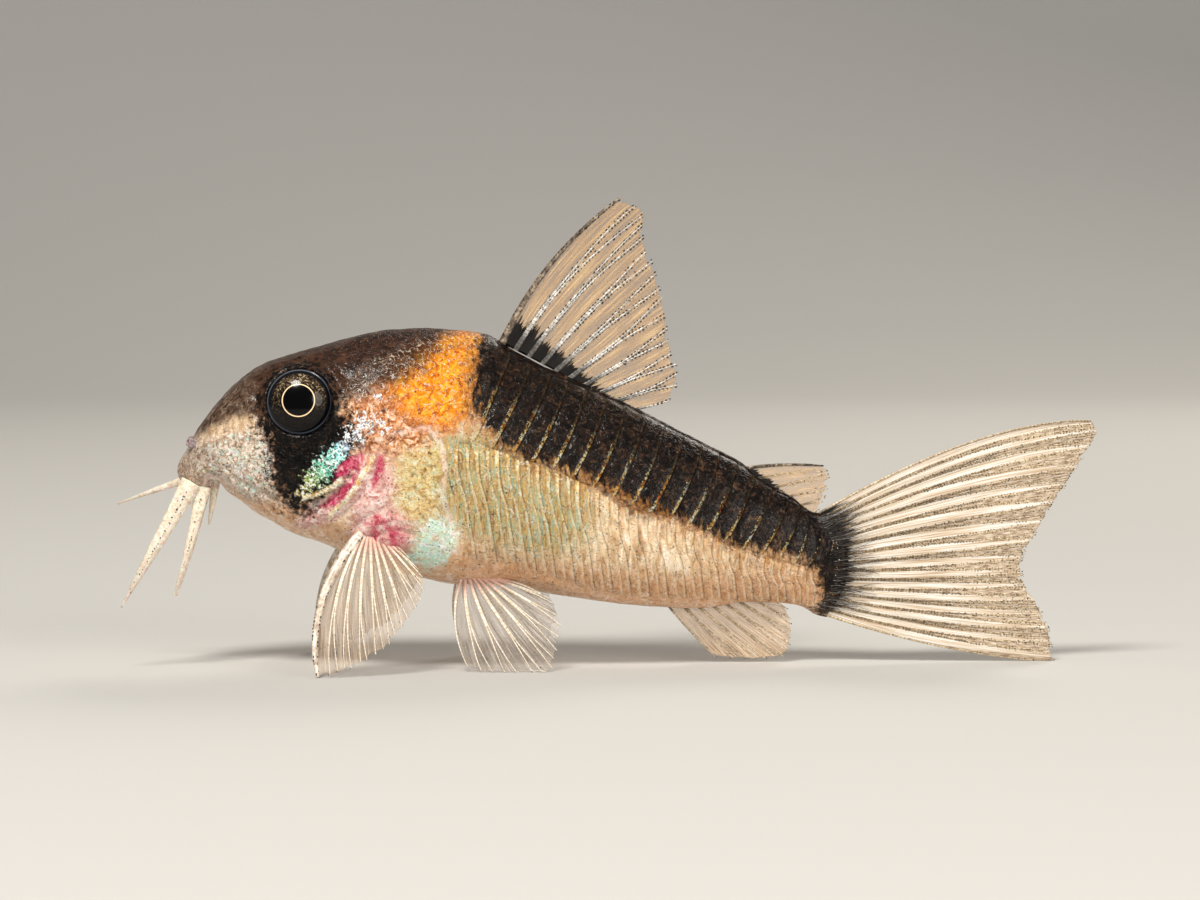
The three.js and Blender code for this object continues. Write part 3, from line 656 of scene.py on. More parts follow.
bandEdge = (20, (1.8, 1, 0.7))
bandBlack = [(0.34, "#040303"), (0.5, "#120c0a"), (0.6, "#281a12"), (0.74, "#5c4430")]
skinColours = {
    "belly": [
        ("under", 0.7, 2, [(0.3, "#b87c50"), (0.7, "#e4b084")], 1.2, 0.3, 1, 0.75),
        ("throat", 0.6, 3, [(0.3, "#cc9870"), (0.5, "#e6bc98"), (0.68, "#fae6d4")], 0.6, 0.4, 1)],
    # the soft parts round the gill opening, with curling white folds, and the gold-green shoulder
    "shoulder": [
        ("pink", 0.6, 5, [(0.35, "#b87c74"), (0.48, "#dca8a0"), (0.62, "#f6e0da")], 0.35, 0.35, 0.6),
        ("shoulder", 0.5, 6, [(0.34, "#94703c"), (0.44, "#c8a060"), (0.53, "#e0c890"), (0.61, "#ccd0a8"),
                              (0.7, "#fdf6e4")], 0.7, 0.9, 0.6, 0.85)],
    # the nape, the cheek, the fin's root and the dark head, paler and greyer towards the snout
    "head": [
        ("amber", 0.4, 7, [(0.34, "#4c200c"), (0.43, "#9c5428"), (0.52, "#cc8450"), (0.6, "#ecb48c"),
                           (0.69, "#fdeee6")], 0.3, 0.5, 0.7, 0.95),
        ("orange", 0.45, 45, [(0.36, "#7c3c14"), (0.5, "#c06c28"), (0.64, "#ec9c50")], 0.6, 1.0, 0.7, 0.8, 0.8, 46),
        ("orange", 0.42, 8, [(0.32, "#a04608"), (0.42, "#dc780c"), (0.54, "#f89c18"), (0.66, "#ffbc40"),
                             (0.76, "#ffe08c")], 0.8, 1.1, 0.6, 1, 0.1),
        ("cheek", 0.35, 9, [(0.32, "#6e5846"), (0.42, "#a88e76"), (0.53, "#d4baa4"), (0.66, "#fbeee4")],
         0.35, 0.4, 0.5),
        ("mint", 0.4, 10, [(0.36, "#c8c498"), (0.44, "#e0f0dc"), (0.52, "#b8ecdc"), (0.6, "#ffffff")],
         0.35, 0.6, 0.4, 0.95),
        ("root", 0.6, 11, [(0.36, "#c86474"), (0.48, "#dc9494"), (0.6, "#f0c8c0"), (0.7, "#fcece6")],
         0.4, 0.5, 0.6, 0.9),
        ("rootRed", 0.3, 50, [(0.4, "#a81c40"), (0.6, "#d85c74")], 0.16, 0.3, 0.3, 0.9),
        ("headDark", 0.5, 12, [(0.34, "#2a1a12"), (0.46, "#4e3a2c"), (0.56, "#6a5648"), (0.7, "#94806e")],
         0.5, 0.6, 0.6),
        ("crown", 0.6, 13, [(0.34, "#140a06"), (0.5, "#2c1811"), (0.66, "#4e3224")], 0.3, 0.3, 1, 0.95),
        ("snout", 0.3, 14, [(0.36, "#5c4a40"), (0.48, "#94806f"), (0.58, "#b8a698"), (0.7, "#e8dcd4")],
         0.4, 0.4, 0.5, 0.8),
        ("lip", 0.4, 47, [(0.4, "#d8b0a0"), (0.6, "#f8e4d8")], 0.3, 0.2, 0.4, 0.85),
        ("mouth", 0.3, 60, [(0.4, "#4c2020"), (0.6, "#8c4c44")], 0.08, 0.05, 0.3, 0.9),
        ("mask", 0, 0, "#4a3020", 0.3, 2.0, 0.35, 0.85, 0.45, 2),
        ("mask", 0.4, 15, [(0.4, "#030202"), (0.56, "#0e0908"), (0.7, "#3a2a20")], 0.25, 2.0, 0.35, 1, 0, 2)],
    # the gill cover's crimson and pale rims, painted highlights along the folds, and the black band with a rusty
    # fringe and a bar on the tail's root
    "over": [
        ("crimson", 0.4, 18, [(0.35, "#981440"), (0.5, "#c4305c"), (0.62, "#d86c84"), (0.72, "#f4c8c4")],
         0.2, 0.35, 0.3, 0.95),
        ("gillRim", 0.35, 19, [(0.38, "#d8ac60"), (0.5, "#f8ecc0"), (0.62, "#fffef4")], 0.12, 0.3, 0.25),
        ("fold", 0.4, 52, [(0.4, "#e8b8ac"), (0.56, "#fff0e8")], 0.14, 0.35, 0.4, 0.5),
        ("band", 0.35, 20, [(0.35, "#5c3414"), (0.52, "#a06830"), (0.68, "#d0a060")], 0.9, 1.6, 0.5, 0.8, 1.0,
         *bandEdge),
        ("band", 0.45, 21, bandBlack, 0.45, 1.6, 0.5, 1, 0.1, *bandEdge),
        ("tailBar", 0.45, 21, bandBlack, 0.5, 2.0, 0.45, 0.95, 0, 22, (0.5, 1, 1.4))],
}


def skinMaterial():
    material, tree, shader = newFinish("moistFishSkin")
    # the flank's ground: tan with cream, streaked up and down
    ground = mottle(tree, 1.0, 1, [(0.3, "#b08a64"), (0.44, "#d8b48c"), (0.56, "#f2d6b2"), (0.68, "#fff2de")],
                    (1.8, 1, 0.4))
    ground = layMarks(tree, ground, skinColours["belly"])
    # guanine sheen: gold, olive and a little mint, in thin upright streaks
    sheen = mottle(tree, 0.42, 4, [(0.32, "#6e5434"), (0.42, "#a08048"), (0.5, "#c0a05c"), (0.56, "#8c9c74"),
                                   (0.62, "#7ca494"), (0.68, "#b0ac98"), (0.78, "#ecdca0")], (2.4, 1, 0.3))
    ground = layMark(tree, ground, sheen, "glow", 0.3, 0.35, 0.8, 0.85)
    ground = layMarks(tree, ground, skinColours["shoulder"])
    goldThreads = product(tree, threads(tree, 0.45, 0.05, 42), markValue(tree, "shoulder", 0.4, 0.5, 0.5, 43))
    gold = mottle(tree, 0.5, 44, [(0.4, "#7c6824"), (0.5, "#d4cc70"), (0.6, "#fdf6d0")])
    ground = stain(tree, ground, gold, goldThreads, 0.1, 0.9, 0.5)
    ground = layMarks(tree, ground, skinColours["head"])
    # the gill cover's gleam: gold below, turquoise, then pale blue towards the eye
    run, along, armour, edgeFade, knee = [addNode(tree, "Attribute", {"attribute_name": name}).outputs["Fac"]
                                          for name in ("gleamRun", "along", "armour", "edgeFade", "knee")]
    hue = addNode(tree, "ValToRGB", {"stops": [(0.0, "#c4ac58"), (0.25, "#a0c070"), (0.45, "#78d0b4"),
                                               (0.7, "#a0e8e4"), (0.9, "#bcd8f8"), (1.0, "#f0f4ff")]}, {0: run})
    hue = stain(tree, hue, "#0c0f0c", threads(tree, 0.26, 0.07, 51), 0.2, 0.8, 0.85)
    hue = stain(tree, hue, "#fdfffa", grain(tree, 0.2, 17, detail=2.0, wander=1.0), 0.5, 0.6, 0.95)
    ground = stain(tree, ground, hue, markValue(tree, "gleam", 1.6, 0.26, -0.25, 16), -0.12, 0.2)
    ground = layMarks(tree, ground, skinColours["over"])
    # where the plates' details show, and what keeps the pale ones off the dark marks
    inBand = markValue(tree, "band", 0.3, 0.5, 0.2, 23)
    onFlank, fade, paintedGrooveShade, kneeGlintRun, ridgeHighlight, line, edgeGlintGrain, offMask, offHead, polish = [
        addNode(tree, "MapRange", {1: low, 2: high, 3: first, 4: last}, {0: value})
        for value, low, high, first, last in (
            (inBand, 0.2, -0.4, 0.0, 1.0), (inBand, 0.3, -0.3, 0.12, 0.6), (along, 0.18, 0.02, 0.0, 0.8),
            (along, 0.55, 0.75, 0.0, 1.0), (along, 0.66, 0.82, 0.0, 0.6), (along, 0.84, 0.92, 0.0, 1.0),
            (grain(tree, 0.16, 24), 0.4, 0.54, 0.0, 1.0),
            (markValue(tree, "mask", 0.4, 0.4, 0, 48), -0.3, 0.2, 1.0, 0.0),
            (markValue(tree, "headDark", 0.4, 0.4, 0, 49), -0.3, 0.5, 1.0, 0.12),
            (grain(tree, 0.4, 32), 0.3, 0.7, 0.28, 0.5))]
    details = [  # colour, where it lies, from, to and strength
        # painted shade in the grooves between the plates, painted glints in streaks at the knees, painted highlights
        # on the ridges and painted glints on the rear edges
        ("#4a2e1a", product(tree, paintedGrooveShade, armour), 0, 1, 1),
        # painted glints, gold, cream and mint, streaked along the knee of each lower plate
        (mottle(tree, 0.5, 55, [(0.4, "#b8843c"), (0.5, "#e8cc80"), (0.58, "#f8f0d0"), (0.68, "#a4d0b8")]),
         product(tree, kneeGlintRun, knee, grain(tree, 0.3, 56, (1, 1, 0.5))), 0.12, 0.4, 0.75),
        # painted highlight along each plate's ridge, pale cream with a little mint
        (mottle(tree, 0.5, 53, [(0.4, "#e8c890"), (0.5, "#f8ead0"), (0.6, "#dce8d8"), (0.7, "#fff4e0")], (1, 1, 0.5)),
         product(tree, ridgeHighlight, armour, onFlank, grain(tree, 0.5, 54, (1, 1, 0.5))), 0.1, 0.5, 0.6),
        # painted glints along the plates' rear edges, orange to gold to white, broken by a fine grain
        (mottle(tree, 0.6, 25, [(0.36, "#b85c1c"), (0.46, "#e0a840"), (0.56, "#f4e8b0"), (0.68, "#f0f4f0")]),
         product(tree, line, edgeGlintGrain, edgeFade, armour), 0, 0.9, 0.75),
        # pigment cells; short pale threads, painted highlights on the crests of the skin's fine folds; and dark
        # threads
        ("#1a110c", product(tree, specks(tree, 0.22, 0.12, 1), grain(tree, 1.2, 26)), 0.1, 0.6, 0.8),
        (mottle(tree, 0.8, 28, [(0.35, "#e8c8a4"), (0.5, "#f6ecd8"), (0.65, "#f0f4f4")]),
         product(tree, threads(tree, 0.5, 0.022, 27), offMask, offHead, fade), 0, 1, 0.7),
        ("#2c1608", product(tree, threads(tree, 0.6, 0.02, 29), offMask), 0, 1, 0.4),
        # bright flecks on the cheek, and curls on it that are painted glints, pale and turquoise
        (mottle(tree, 0.6, 31, [(0.36, "#f8f4ec"), (0.5, "#a4dccc"), (0.6, "#e8e4ac"), (0.7, "#dce4f8")]),
         product(tree, specks(tree, 0.36, 0.5, 2), markValue(tree, "cheek", 0.3, 0.6, 0.2, 30), offMask),
         0.05, 0.5, 0.9),
        (mottle(tree, 0.7, 59, [(0.4, "#fdf4ea"), (0.5, "#a8dcd4"), (0.6, "#f4f0f8")]),
         product(tree, threads(tree, 0.38, 0.06, 57), markValue(tree, "cheek", 0.3, 0.6, 0.25, 58), offMask),
         0.1, 0.7, 0.6)]
    for colour, where, low, high, top in details:
        ground = stain(tree, ground, colour, where, low, high, top)
    normal = relief(tree, [(grain(tree, 0.5, 33, wander=1.0, detail=2.0), 0.09),
                           (threads(tree, 0.5, 0.05, 27), 0.03)])
    fill(tree, shader, {"Subsurface Weight": 0.08, "Subsurface Scale": 0.0005, "Specular IOR Level": 0.12,
                        "Coat Weight": 0.3, "Coat Roughness": 0.08, "Coat IOR": 1.36, "IOR": 1.38},
         {"Base Color": ground, "Roughness": polish, "Normal": normal, "Coat Normal": normal})
    return material


# Fins: a fan of rays from a base line to an edge line, all [x, z] in mm from the leading ray to the last.
# A paired fin's lines are [back, down] from its root instead, and it splays outwards by some degrees.

plainFin = {"spread": 0.3, "tips": 0.0, "dots": 0.4, "dotSize": 0.03, "look": "dusky",
            "blotch": 0.0, "tint": 1.0, "filled": 0.0}
dorsalFin = {
    **plainFin,
    "base": [[21.5, 21.3], [25.5, 19.2], [29.5, 16.8]],
    "edge": [[29.3, 30.9], [30.9, 30.1], [30.9, 28.3], [31.5, 26.5], [32.1, 24.7], [32.5, 22.5],
             [32.8, 20.7], [33.2, 19.1], [32.7, 17.5]],
    "bow": [[-1.2, 1.05], [0, -0.2]], "rays": 10, "radius": (0.14, 0.036), "fork": 0.42, "pleat": 0.07,
    "dots": 0.26, "dotSize": 0.05, "dotChance": 0.8, "look": "silver", "blotch": 0.115,
}
adiposeFin = {
    **plainFin,
    "base": [[37.3, 12.9], [39.8, 11.3], [42.2, 9.9]],
    "edge": [[42.9, 13.1], [43.3, 12.6], [43.1, 11.4], [42.6, 10.2]],
    "bow": [[0, 0.35], [0, 0]], "rays": 6, "radius": (0.06, 0.02), "fork": 0.3, "spread": 0.2, "pleat": 0.02,
    "dotChance": 0.5, "blotch": 0.12,
}
analFin = {
    **plainFin,
    "base": [[32.3, 4.1], [35.5, 4.2], [38.7, 4.5]],
    "edge": [[35.7, 0.35], [37.6, 0.2], [39.2, 0.22], [40.4, 0.5], [40.8, 1.5], [40.8, 2.6], [40.5, 3.55]],
    "bow": [[-0.1, -0.15], [0.1, 0.1]], "rays": 8, "radius": (0.1, 0.03), "fork": 0.4, "pleat": 0.06,
    "dotChance": 0.3, "filled": 0.45,
}
caudalFin = {
    **plainFin,
    "base": [[42.6, 9.95], [43.6, 8.7], [44.0, 6.6], [43.6, 4.6], [42.4, 3.4]],
    "edge": [[60.9, 16.1], [61.2, 15.2], [59.9, 13], [58.6, 10.9], [57.2, 8.6], [56.2, 6.6], [56.6, 5],
             [57.6, 3.3], [58.2, 1.6], [58.4, -0.1]],
    "bow": [[1.7, 3.2], [-0.1, -1.1]], "rays": 17, "radius": (0.1, 0.034), "fork": 0.12, "tips": 0.12, "pleat": 0.06,
    "dots": 0.2, "dotChance": 0.6, "blotch": 0.055, "filled": 1.0,
}
pectoralFin = {
    **plainFin, "root": (11.75, -4.75, 8.75), "splay": 25,
    "base": [[0.4, -0.3], [1.2, -0.1], [2.2, 0.2]],
    "edge": [[-2.4, 9.6], [-1.2, 9.45], [-0.2, 9.0], [0.9, 8.35], [2, 7.6], [2.9, 6.5], [3.9, 5.1],
             [4.5, 3.7], [4.4, 2.6], [3.3, 1.1]],
    "bow": [[-2.3, -0.5], [0, -0.15]], "rays": 11, "radius": (0.125, 0.026), "fork": 0.5, "spread": 0.26,
    "pleat": 0.09,
    "dotChance": 0.25, "look": "pale", "tint": 0.45,
}
pelvicFin = {
    **plainFin, "root": (18.6, -3.1, 5.9), "splay": 25,
    "base": [[0.1, 0], [1.2, -0.1], [2.5, 0]],
    "edge": [[0.5, 6.1], [2, 6.6], [4, 6.75], [5.8, 6.6], [6.3, 5.2], [6.7, 3.4], [6.2, 1.7], [5.2, 0.95]],
    "bow": [[-1.2, 0.1], [0.1, -0.3]], "rays": 9, "radius": (0.12, 0.026), "fork": 0.45, "spread": 0.26,
    "pleat": 0.09,
    "dots": 0.5, "dotChance": 0.1, "look": "pale", "tint": 0.12,
}
finDetail = {"columnsPerGap": 8, "rows": 60, "webHalf": 0.026, "notch": 0.35, "rayPoints": 44}


def lineAt(points, share):  # a smooth line through points, evenly spaced in share
    points = np.array(points, float)
    last = len(points) - 1
    where = np.clip(np.asarray(share, float), 0, 1) * last
    i = np.minimum(where.astype(int), last - 1)
    t = (where - i)[..., None]
    before, after = points[np.maximum(i - 1, 0)], points[np.minimum(i + 2, last)]
    a, b = points[i], points[i + 1]
    startRun = np.where((i == 0)[..., None], b - a, (b - before) / 2)
    endRun = np.where((i == last - 1)[..., None], b - a, (after - a) / 2)
    return ((2 * t**3 - 3 * t**2 + 1) * a + (t**3 - 2 * t**2 + t) * startRun
            + (3 * t**2 - 2 * t**3) * b + (t**3 - t**2) * endRun)


def fanPoint(fan, share, out, aside=0.0):  # a point of the fin's sheet, in mm
    share, out = np.broadcast_arrays(np.asarray(share, float), np.asarray(out, float))
    root, tip = lineAt(fan["base"], share), lineAt(fan["edge"], share)
    first, last = np.array(fan["bow"])
    fade = np.clip(1 - 2 * share, 0, 1)[..., None] ** 1.3
    rise = np.clip(2 * share - 1, 0, 1)[..., None] ** 1.3
    bend = (root + tip) / 2 + first * fade + last * rise
    t = out[..., None]
    flat = (1 - t) ** 2 * root + 2 * t * (1 - t) * bend + t * t * tip
    gap = share * (fan["rays"] - 1)
    y = fan["pleat"] * np.sin(math.pi * gap) * np.clip(out * 3, 0, 1) + aside
    if "root" not in fan:
        return np.stack([flat[..., 0], y, flat[..., 1]], axis=-1)
    splay = math.radians(fan["splay"])
    back, down = flat[..., 0], flat[..., 1]
    return np.stack([fan["root"][0] + back,
                     fan["root"][1] - down * math.sin(splay) + y * math.cos(splay),
                     fan["root"][2] - down * math.cos(splay) - y * math.sin(splay)], axis=-1)


def onFloor(points):  # what would sink below the floor lies on it
    points = np.array(points)
    points[..., 2] = np.maximum(points[..., 2], 0.06)
    return points


def branchesOf(fan, i):  # how far each branch of a ray swings from its middle, in gaps, at each step out
    out = np.linspace(0.0, 1.0, finDetail["rayPoints"])
    late = fan["fork"] * (1 + 0.25 * math.sin(2.4 * i + 1))
    count = fan["rays"] - 1
    ways = [0] if i == 0 or (i == count and "root" not in fan) else [-1, 1]
    for way in ways:
        swing = way * (0.05 + (fan["spread"] - 0.05) * ease(late, 1.15, out))
        if fan["tips"] and way:
            for tip in (-1, 1):
                yield out, way, swing + tip * fan["tips"] * ease(0.62 + 0.06 * math.sin(i * 3.1), 1.05, out)
        else:
            yield out, way, swing * (1 + 0.2 * math.sin(i * 1.7 + way))


def finLines(fan, mirror):  # the rays' curves, and the rows of pigment beside them
    count = fan["rays"] - 1
    thick, thin = fan["radius"]
    rays, rows = [], []
    for i in range(count + 1):
        for out, way, swing in branchesOf(fan, i):
            share = np.clip((i + swing) / count, 0, 1)
            reach = out * (1 - 0.012 * (1 + math.sin(5 * i + 2 * way)))
            size = thick + (thin - thick) * out ** 0.7
            rays.append((onFloor(fanPoint(fan, share, reach)) * mirror, size))
            for edge in (-1, 1):
                beside = np.clip(share + edge * 0.07 / count, 0, 1)
                points = onFloor(fanPoint(fan, beside, reach, -size * 0.4)) * mirror
                rows.append((points[3:], size[3:]))
    return rays, rows


def newTree(name, sockets):  # a node group that grows a mesh on curves; sockets: name, kind and first value
    tree = bpy.data.node_groups.new(name, "GeometryNodeTree")
    whole = [("Geometry", "Geometry", None), ("Finish", "Material", None), *sockets]
    for socket, kind, value in whole:
        made = tree.interface.new_socket(socket, in_out="INPUT", socket_type="NodeSocket" + kind)
        if value is not None:
            made.default_value = value
    tree.interface.new_socket("Geometry", in_out="OUTPUT", socket_type="NodeSocketGeometry")
    return tree, addNode(tree, "NodeGroupInput").outputs


def endTree(tree, grown, finish):
    whole = addNode(tree, "GeometryNodeRealizeInstances", links={"Geometry": grown})
    done = addNode(tree, "GeometryNodeSetMaterial", links={"Geometry": whole, "Material": finish})
    addNode(tree, "NodeGroupOutput", links={"Geometry": done})
    return tree


def buildRodTree():  # a round rod along each curve, as thick as the curve says
    tree, given = newTree("finRays", [("Sides", "Int", 6)])
    length = addNode(tree, "GeometryNodeSplineParameter").outputs["Length"]
    marked = addNode(tree, "GeometryNodeStoreNamedAttribute", {"Name": "run"},
                     {"Geometry": given["Geometry"], "Value": length})
    radius = addNode(tree, "GeometryNodeInputRadius")
    ring = addNode(tree, "GeometryNodeCurvePrimitiveCircle", {"Radius": 1.0}, {"Resolution": given["Sides"]})
    rods = addNode(tree, "GeometryNodeCurveToMesh", {"Fill Caps": True},
                   {"Curve": marked, "Profile Curve": ring, "Scale": radius})
    return endTree(tree, addNode(tree, "GeometryNodeSetShadeSmooth", links={"Geometry": rods}), given["Finish"])


def buildGrainTree():  # small grains strewn along each curve, longer than wide
    tree, given = newTree("grainsInRows", [("Spacing", "Float", 0.3 * mm), ("Size", "Float", 0.04 * mm),
                                           ("Stretch", "Float", 1.6), ("Chance", "Float", 0.5),
                                           ("Scatter", "Float", 0.02 * mm), ("Seed", "Int", 1)])
    spaced = addNode(tree, "GeometryNodeResampleCurve", {"mode": "LENGTH"},
                     {"Curve": given["Geometry"], "Length": given["Spacing"]})
    spots = addNode(tree, "GeometryNodeCurveToPoints", {"mode": "EVALUATED"}, {"Curve": spaced})
    astray = addNode(tree, "FunctionNodeRandomValue", {"data_type": "FLOAT_VECTOR", 0: (-1, -1, -1), 1: (1, 1, 1)},
                     {"Seed": given["Seed"]})
    offset = addNode(tree, "VectorMath", {"operation": "SCALE"}, {0: astray, "Scale": given["Scatter"]})
    moved = addNode(tree, "GeometryNodeSetPosition", links={"Geometry": spots, "Offset": offset})
    chosen = addNode(tree, "FunctionNodeRandomValue", {"data_type": "BOOLEAN"},
                     {"Probability": given["Chance"], "Seed": given["Seed"]})
    seed = addNode(tree, "Math", {"operation": "ADD", 1: 7.0}, {0: given["Seed"]})
    uneven = addNode(tree, "FunctionNodeRandomValue", {"data_type": "FLOAT", 2: 0.55, 3: 1.25}, {"Seed": seed})
    size = addNode(tree, "Math", {"operation": "MULTIPLY"}, {0: uneven.outputs[1], 1: given["Size"]})
    longer = addNode(tree, "Math", {"operation": "MULTIPLY"}, {0: size, 1: given["Stretch"]})
    form = addNode(tree, "CombineXYZ", links={0: size, 1: size, 2: longer})
    bead = addNode(tree, "GeometryNodeMeshIcoSphere", {"Radius": 1.0, "Subdivisions": 1})
    smooth = addNode(tree, "GeometryNodeSetShadeSmooth", links={"Geometry": bead})
    beads = addNode(tree, "GeometryNodeInstanceOnPoints", links={
        "Points": moved, "Selection": chosen.outputs[3], "Instance": smooth,
        "Rotation": spots.outputs["Rotation"], "Scale": form})
    return endTree(tree, beads, given["Finish"])


def growAlong(name, tree, lines, slotName, finish, **inputs):  # runs a tree on curves and keeps the plain mesh
    thing = makeCurves(name + "_lines", lines)
    modifier = thing.modifiers.new("growth", "NODES")
    modifier.node_group = tree
    given = {"Finish": finishes[finish], **inputs}
    for item in tree.interface.items_tree:
        if item.in_out == "INPUT" and item.name in given:
            modifier[item.identifier] = given[item.name]
    bpy.context.view_layer.update()
    mesh = bpy.data.meshes.new_from_object(thing.evaluated_get(bpy.context.evaluated_depsgraph_get()))
    mesh.name = name
    bpy.data.objects.remove(thing)
    return ridePiece(name, mesh)


def strewGrains(name, lines, slotName, look, finish="pigment"):  # look: the grain tree's inputs, lengths in mm
    given = {key: value * mm if key in ("Spacing", "Size", "Scatter") else value for key, value in look.items()}
    return growAlong(name, grainTree, lines, slotName, finish, **given)


def makeWeb(name, fan, side):
    gaps = fan["rays"] - 1
    share = np.linspace(0, 1, gaps * finDetail["columnsPerGap"] + 1)
    share, out = np.meshgrid(share, np.linspace(0, 1, finDetail["rows"]), indexing="ij")
    length = np.linalg.norm(fanPoint(fan, share, 1.0) - fanPoint(fan, share, 0.0), axis=-1)
    nearTip = np.abs(np.sin(math.pi * (share * gaps - fan["spread"])))
    nearTip = nearTip * np.abs(np.sin(math.pi * (share * gaps + fan["spread"])))
    notch = finDetail["notch"] / length * (0.3 + nearTip * (0.8 + 0.5 * np.sin(share * 41)))
    reach = out * (1 - notch)
    half = finDetail["webHalf"] * (1.6 - out)
    mirror = np.array([1, side, 1])
    points, faces = shell(onFloor(fanPoint(fan, share, reach, -half)) * mirror,
                          onFloor(fanPoint(fan, share, reach, half)) * mirror)
    upright = "root" not in fan and fan is not analFin  # its rays run up or back, and turn the grid over
    if side < 0 or upright:
        faces = [face[::-1] for face in faces]
    web = makePiece(name, points, faces, finishes["web"])
    store(web, {layer: np.tile(values.ravel(), 2) for layer, values in {
        "across": share * gaps,
        "out": reach,
        "blotch": fan["blotch"] * (1.3 - share * 0.45) - reach,
        "branch": 0.05 + (fan["spread"] + fan["tips"] - 0.02) * ease(fan["fork"], 1.1, reach),
        "filled": np.full(share.shape, fan["filled"]),
        "dusky": np.full(share.shape, fan["tint"]),
    }.items()})
    return web


def makeFin(name, fan, nodes, side=1):
    web = makeWeb(name + "_web", fan, side)
    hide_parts(*nodes)
    rays, rows = finLines(fan, np.array([1, side, 1]))
    growAlong(name + "_rays", rodTree, rays, "fin", fan["look"] + "Ray")
    look = {"Spacing": fan["dots"], "Size": fan["dotSize"], "Stretch": 1.8, "Chance": fan["dotChance"],
            "Scatter": 0.02}
    strewGrains(name + "_pigment", rows, "fin", {**look, "Seed": len(name)})


spineDetail = {"steps": 60, "sides": 16, "flatten": 0.8, "speckTurn": 0.85}
spineSpecks = {"Spacing": 0.24, "Size": 0.05, "Stretch": 2.0, "Chance": 0.7, "Scatter": 0.03, "Seed": 3}


def makeSpine(name, fan, nodes, radii, finish, side=1):  # the stiff first ray
    steps, sides, flatten = spineDetail["steps"], spineDetail["sides"], spineDetail["flatten"]
    share = np.linspace(0, 1, steps)
    path = fanPoint(fan, np.zeros(steps), share) * np.array([1, side, 1])
    size = np.interp(share, [0, 0.25, 0.85, 1], radii)
    points, faces = tube(onFloor(path), size, sides, flatten)
    spine = makePiece(name, onFloor(points), faces, finishes[finish])
    store(spine, {"run": np.concatenate([np.repeat(share, sides), [0, 1]])})
    if nodes:
        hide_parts(*nodes)
    lean = math.radians(fan.get("splay", 0))
    rows = []
    for turn in (-spineDetail["speckTurn"], spineDetail["speckTurn"]):
        shift = np.stack([size * math.sin(turn), -size * flatten * math.cos(turn) * math.cos(lean) * side,
                          size * 0.3 * math.cos(turn) * math.sin(lean)], axis=-1)
        rows.append((onFloor(path + shift)[2:-1], size[2:-1]))
    strewGrains(name + "_specks", rows, "spine", spineSpecks)


rootHairs = {"count": 150, "across": (0.04, 0.96), "length": (0.8, 3.0), "curl": (-0.5, 0.5), "start": -0.4,
             "steps": 9,
             "radius": 0.026, "seed": 7, "silver": 8}  # every eighth strand is silvery


def makeRootHairs(fan):  # strands of skin that run from the tail root onto the fin's rays, a few of them silvery
    chance = np.random.default_rng(rootHairs["seed"])
    dark, silver = [], []
    t = np.linspace(0, 1, rootHairs["steps"])
    for i in range(2 * rootHairs["count"]):
        side = 1 if i % 2 else -1
        share, length, curl = [chance.uniform(*rootHairs[key]) for key in ("across", "length", "curl")]
        base, tip = fanPoint(fan, share, 0.0), fanPoint(fan, share, 1.0)
        run = (tip - base) / np.linalg.norm(tip - base)
        points = base + np.linspace(rootHairs["start"], length, rootHairs["steps"])[:, None] * run
        points[:, 2] += curl * (t**2 * 0.8 + 0.3 * np.sin(5 * t + i))
        points[:, 1] = side * (0.36 - 0.2 * t + 0.07 * np.sin(3 * t + i))
        (dark if i % rootHairs["silver"] else silver).append((points, rootHairs["radius"] * (1 - 0.7 * t)))
    skinMap(growAlong("tail_root_strands", rodTree, dark, "skin", "pigment"))
    skinMap(growAlong("tail_root_silver", rodTree, silver, "skin", "silverRay"))


# Barbels, nostrils and eyes

barbels = {  # root, bend and tip, and each one's form
    "barbel_upper_left": ([1, -1.5, 12.2], [-0.9, -2.2, 8.9], [-3.6, -2.9, 4.1], "upper"),
    "barbel_upper_right": ([0.9, 1.5, 12.3], [-1.6, 2.3, 11.5], [-4.1, 3, 10.5], "far"),
    "barbel_lower_left": ([1.7, -1.3, 11.9], [1.1, -1.9, 8.5], [-0.2, -2.3, 4.7], "lower"),
    "barbel_lower_right": ([1.7, 1.3, 11.9], [1.1, 1.9, 8.3], [-0.2, 2.3, 4.4], "lower"),
    "chin_barbel_left": ([2.6, -0.55, 12.5], [2.35, -0.75, 10.9], [2.1, -0.9, 9.4], "chin"),
    "chin_barbel_right": ([2.6, 0.55, 12.5], [2.35, 0.75, 10.9], [2.1, 0.9, 9.4], "chin"),
}
barbelForm = {"upper": [[0, 0.74], [0.1, 0.66], [0.3, 0.53], [0.6, 0.37], [0.85, 0.19], [1, 0.05]],
              "lower": [[0, 0.6], [0.1, 0.5], [0.25, 0.38], [0.55, 0.26], [0.8, 0.15], [1, 0.05]],
              "far": [[0, 0.36], [0.2, 0.27], [0.6, 0.16], [1, 0.05]],
              "chin": [[0, 0.32], [0.5, 0.2], [1, 0.06]], "sides": 24, "steps": 70, "flatten": 0.7}
barbelSpecks = {"Spacing": 0.19, "Size": 0.042, "Stretch": 1.3, "Chance": 0.65, "Scatter": 0.03, "Seed": 5}


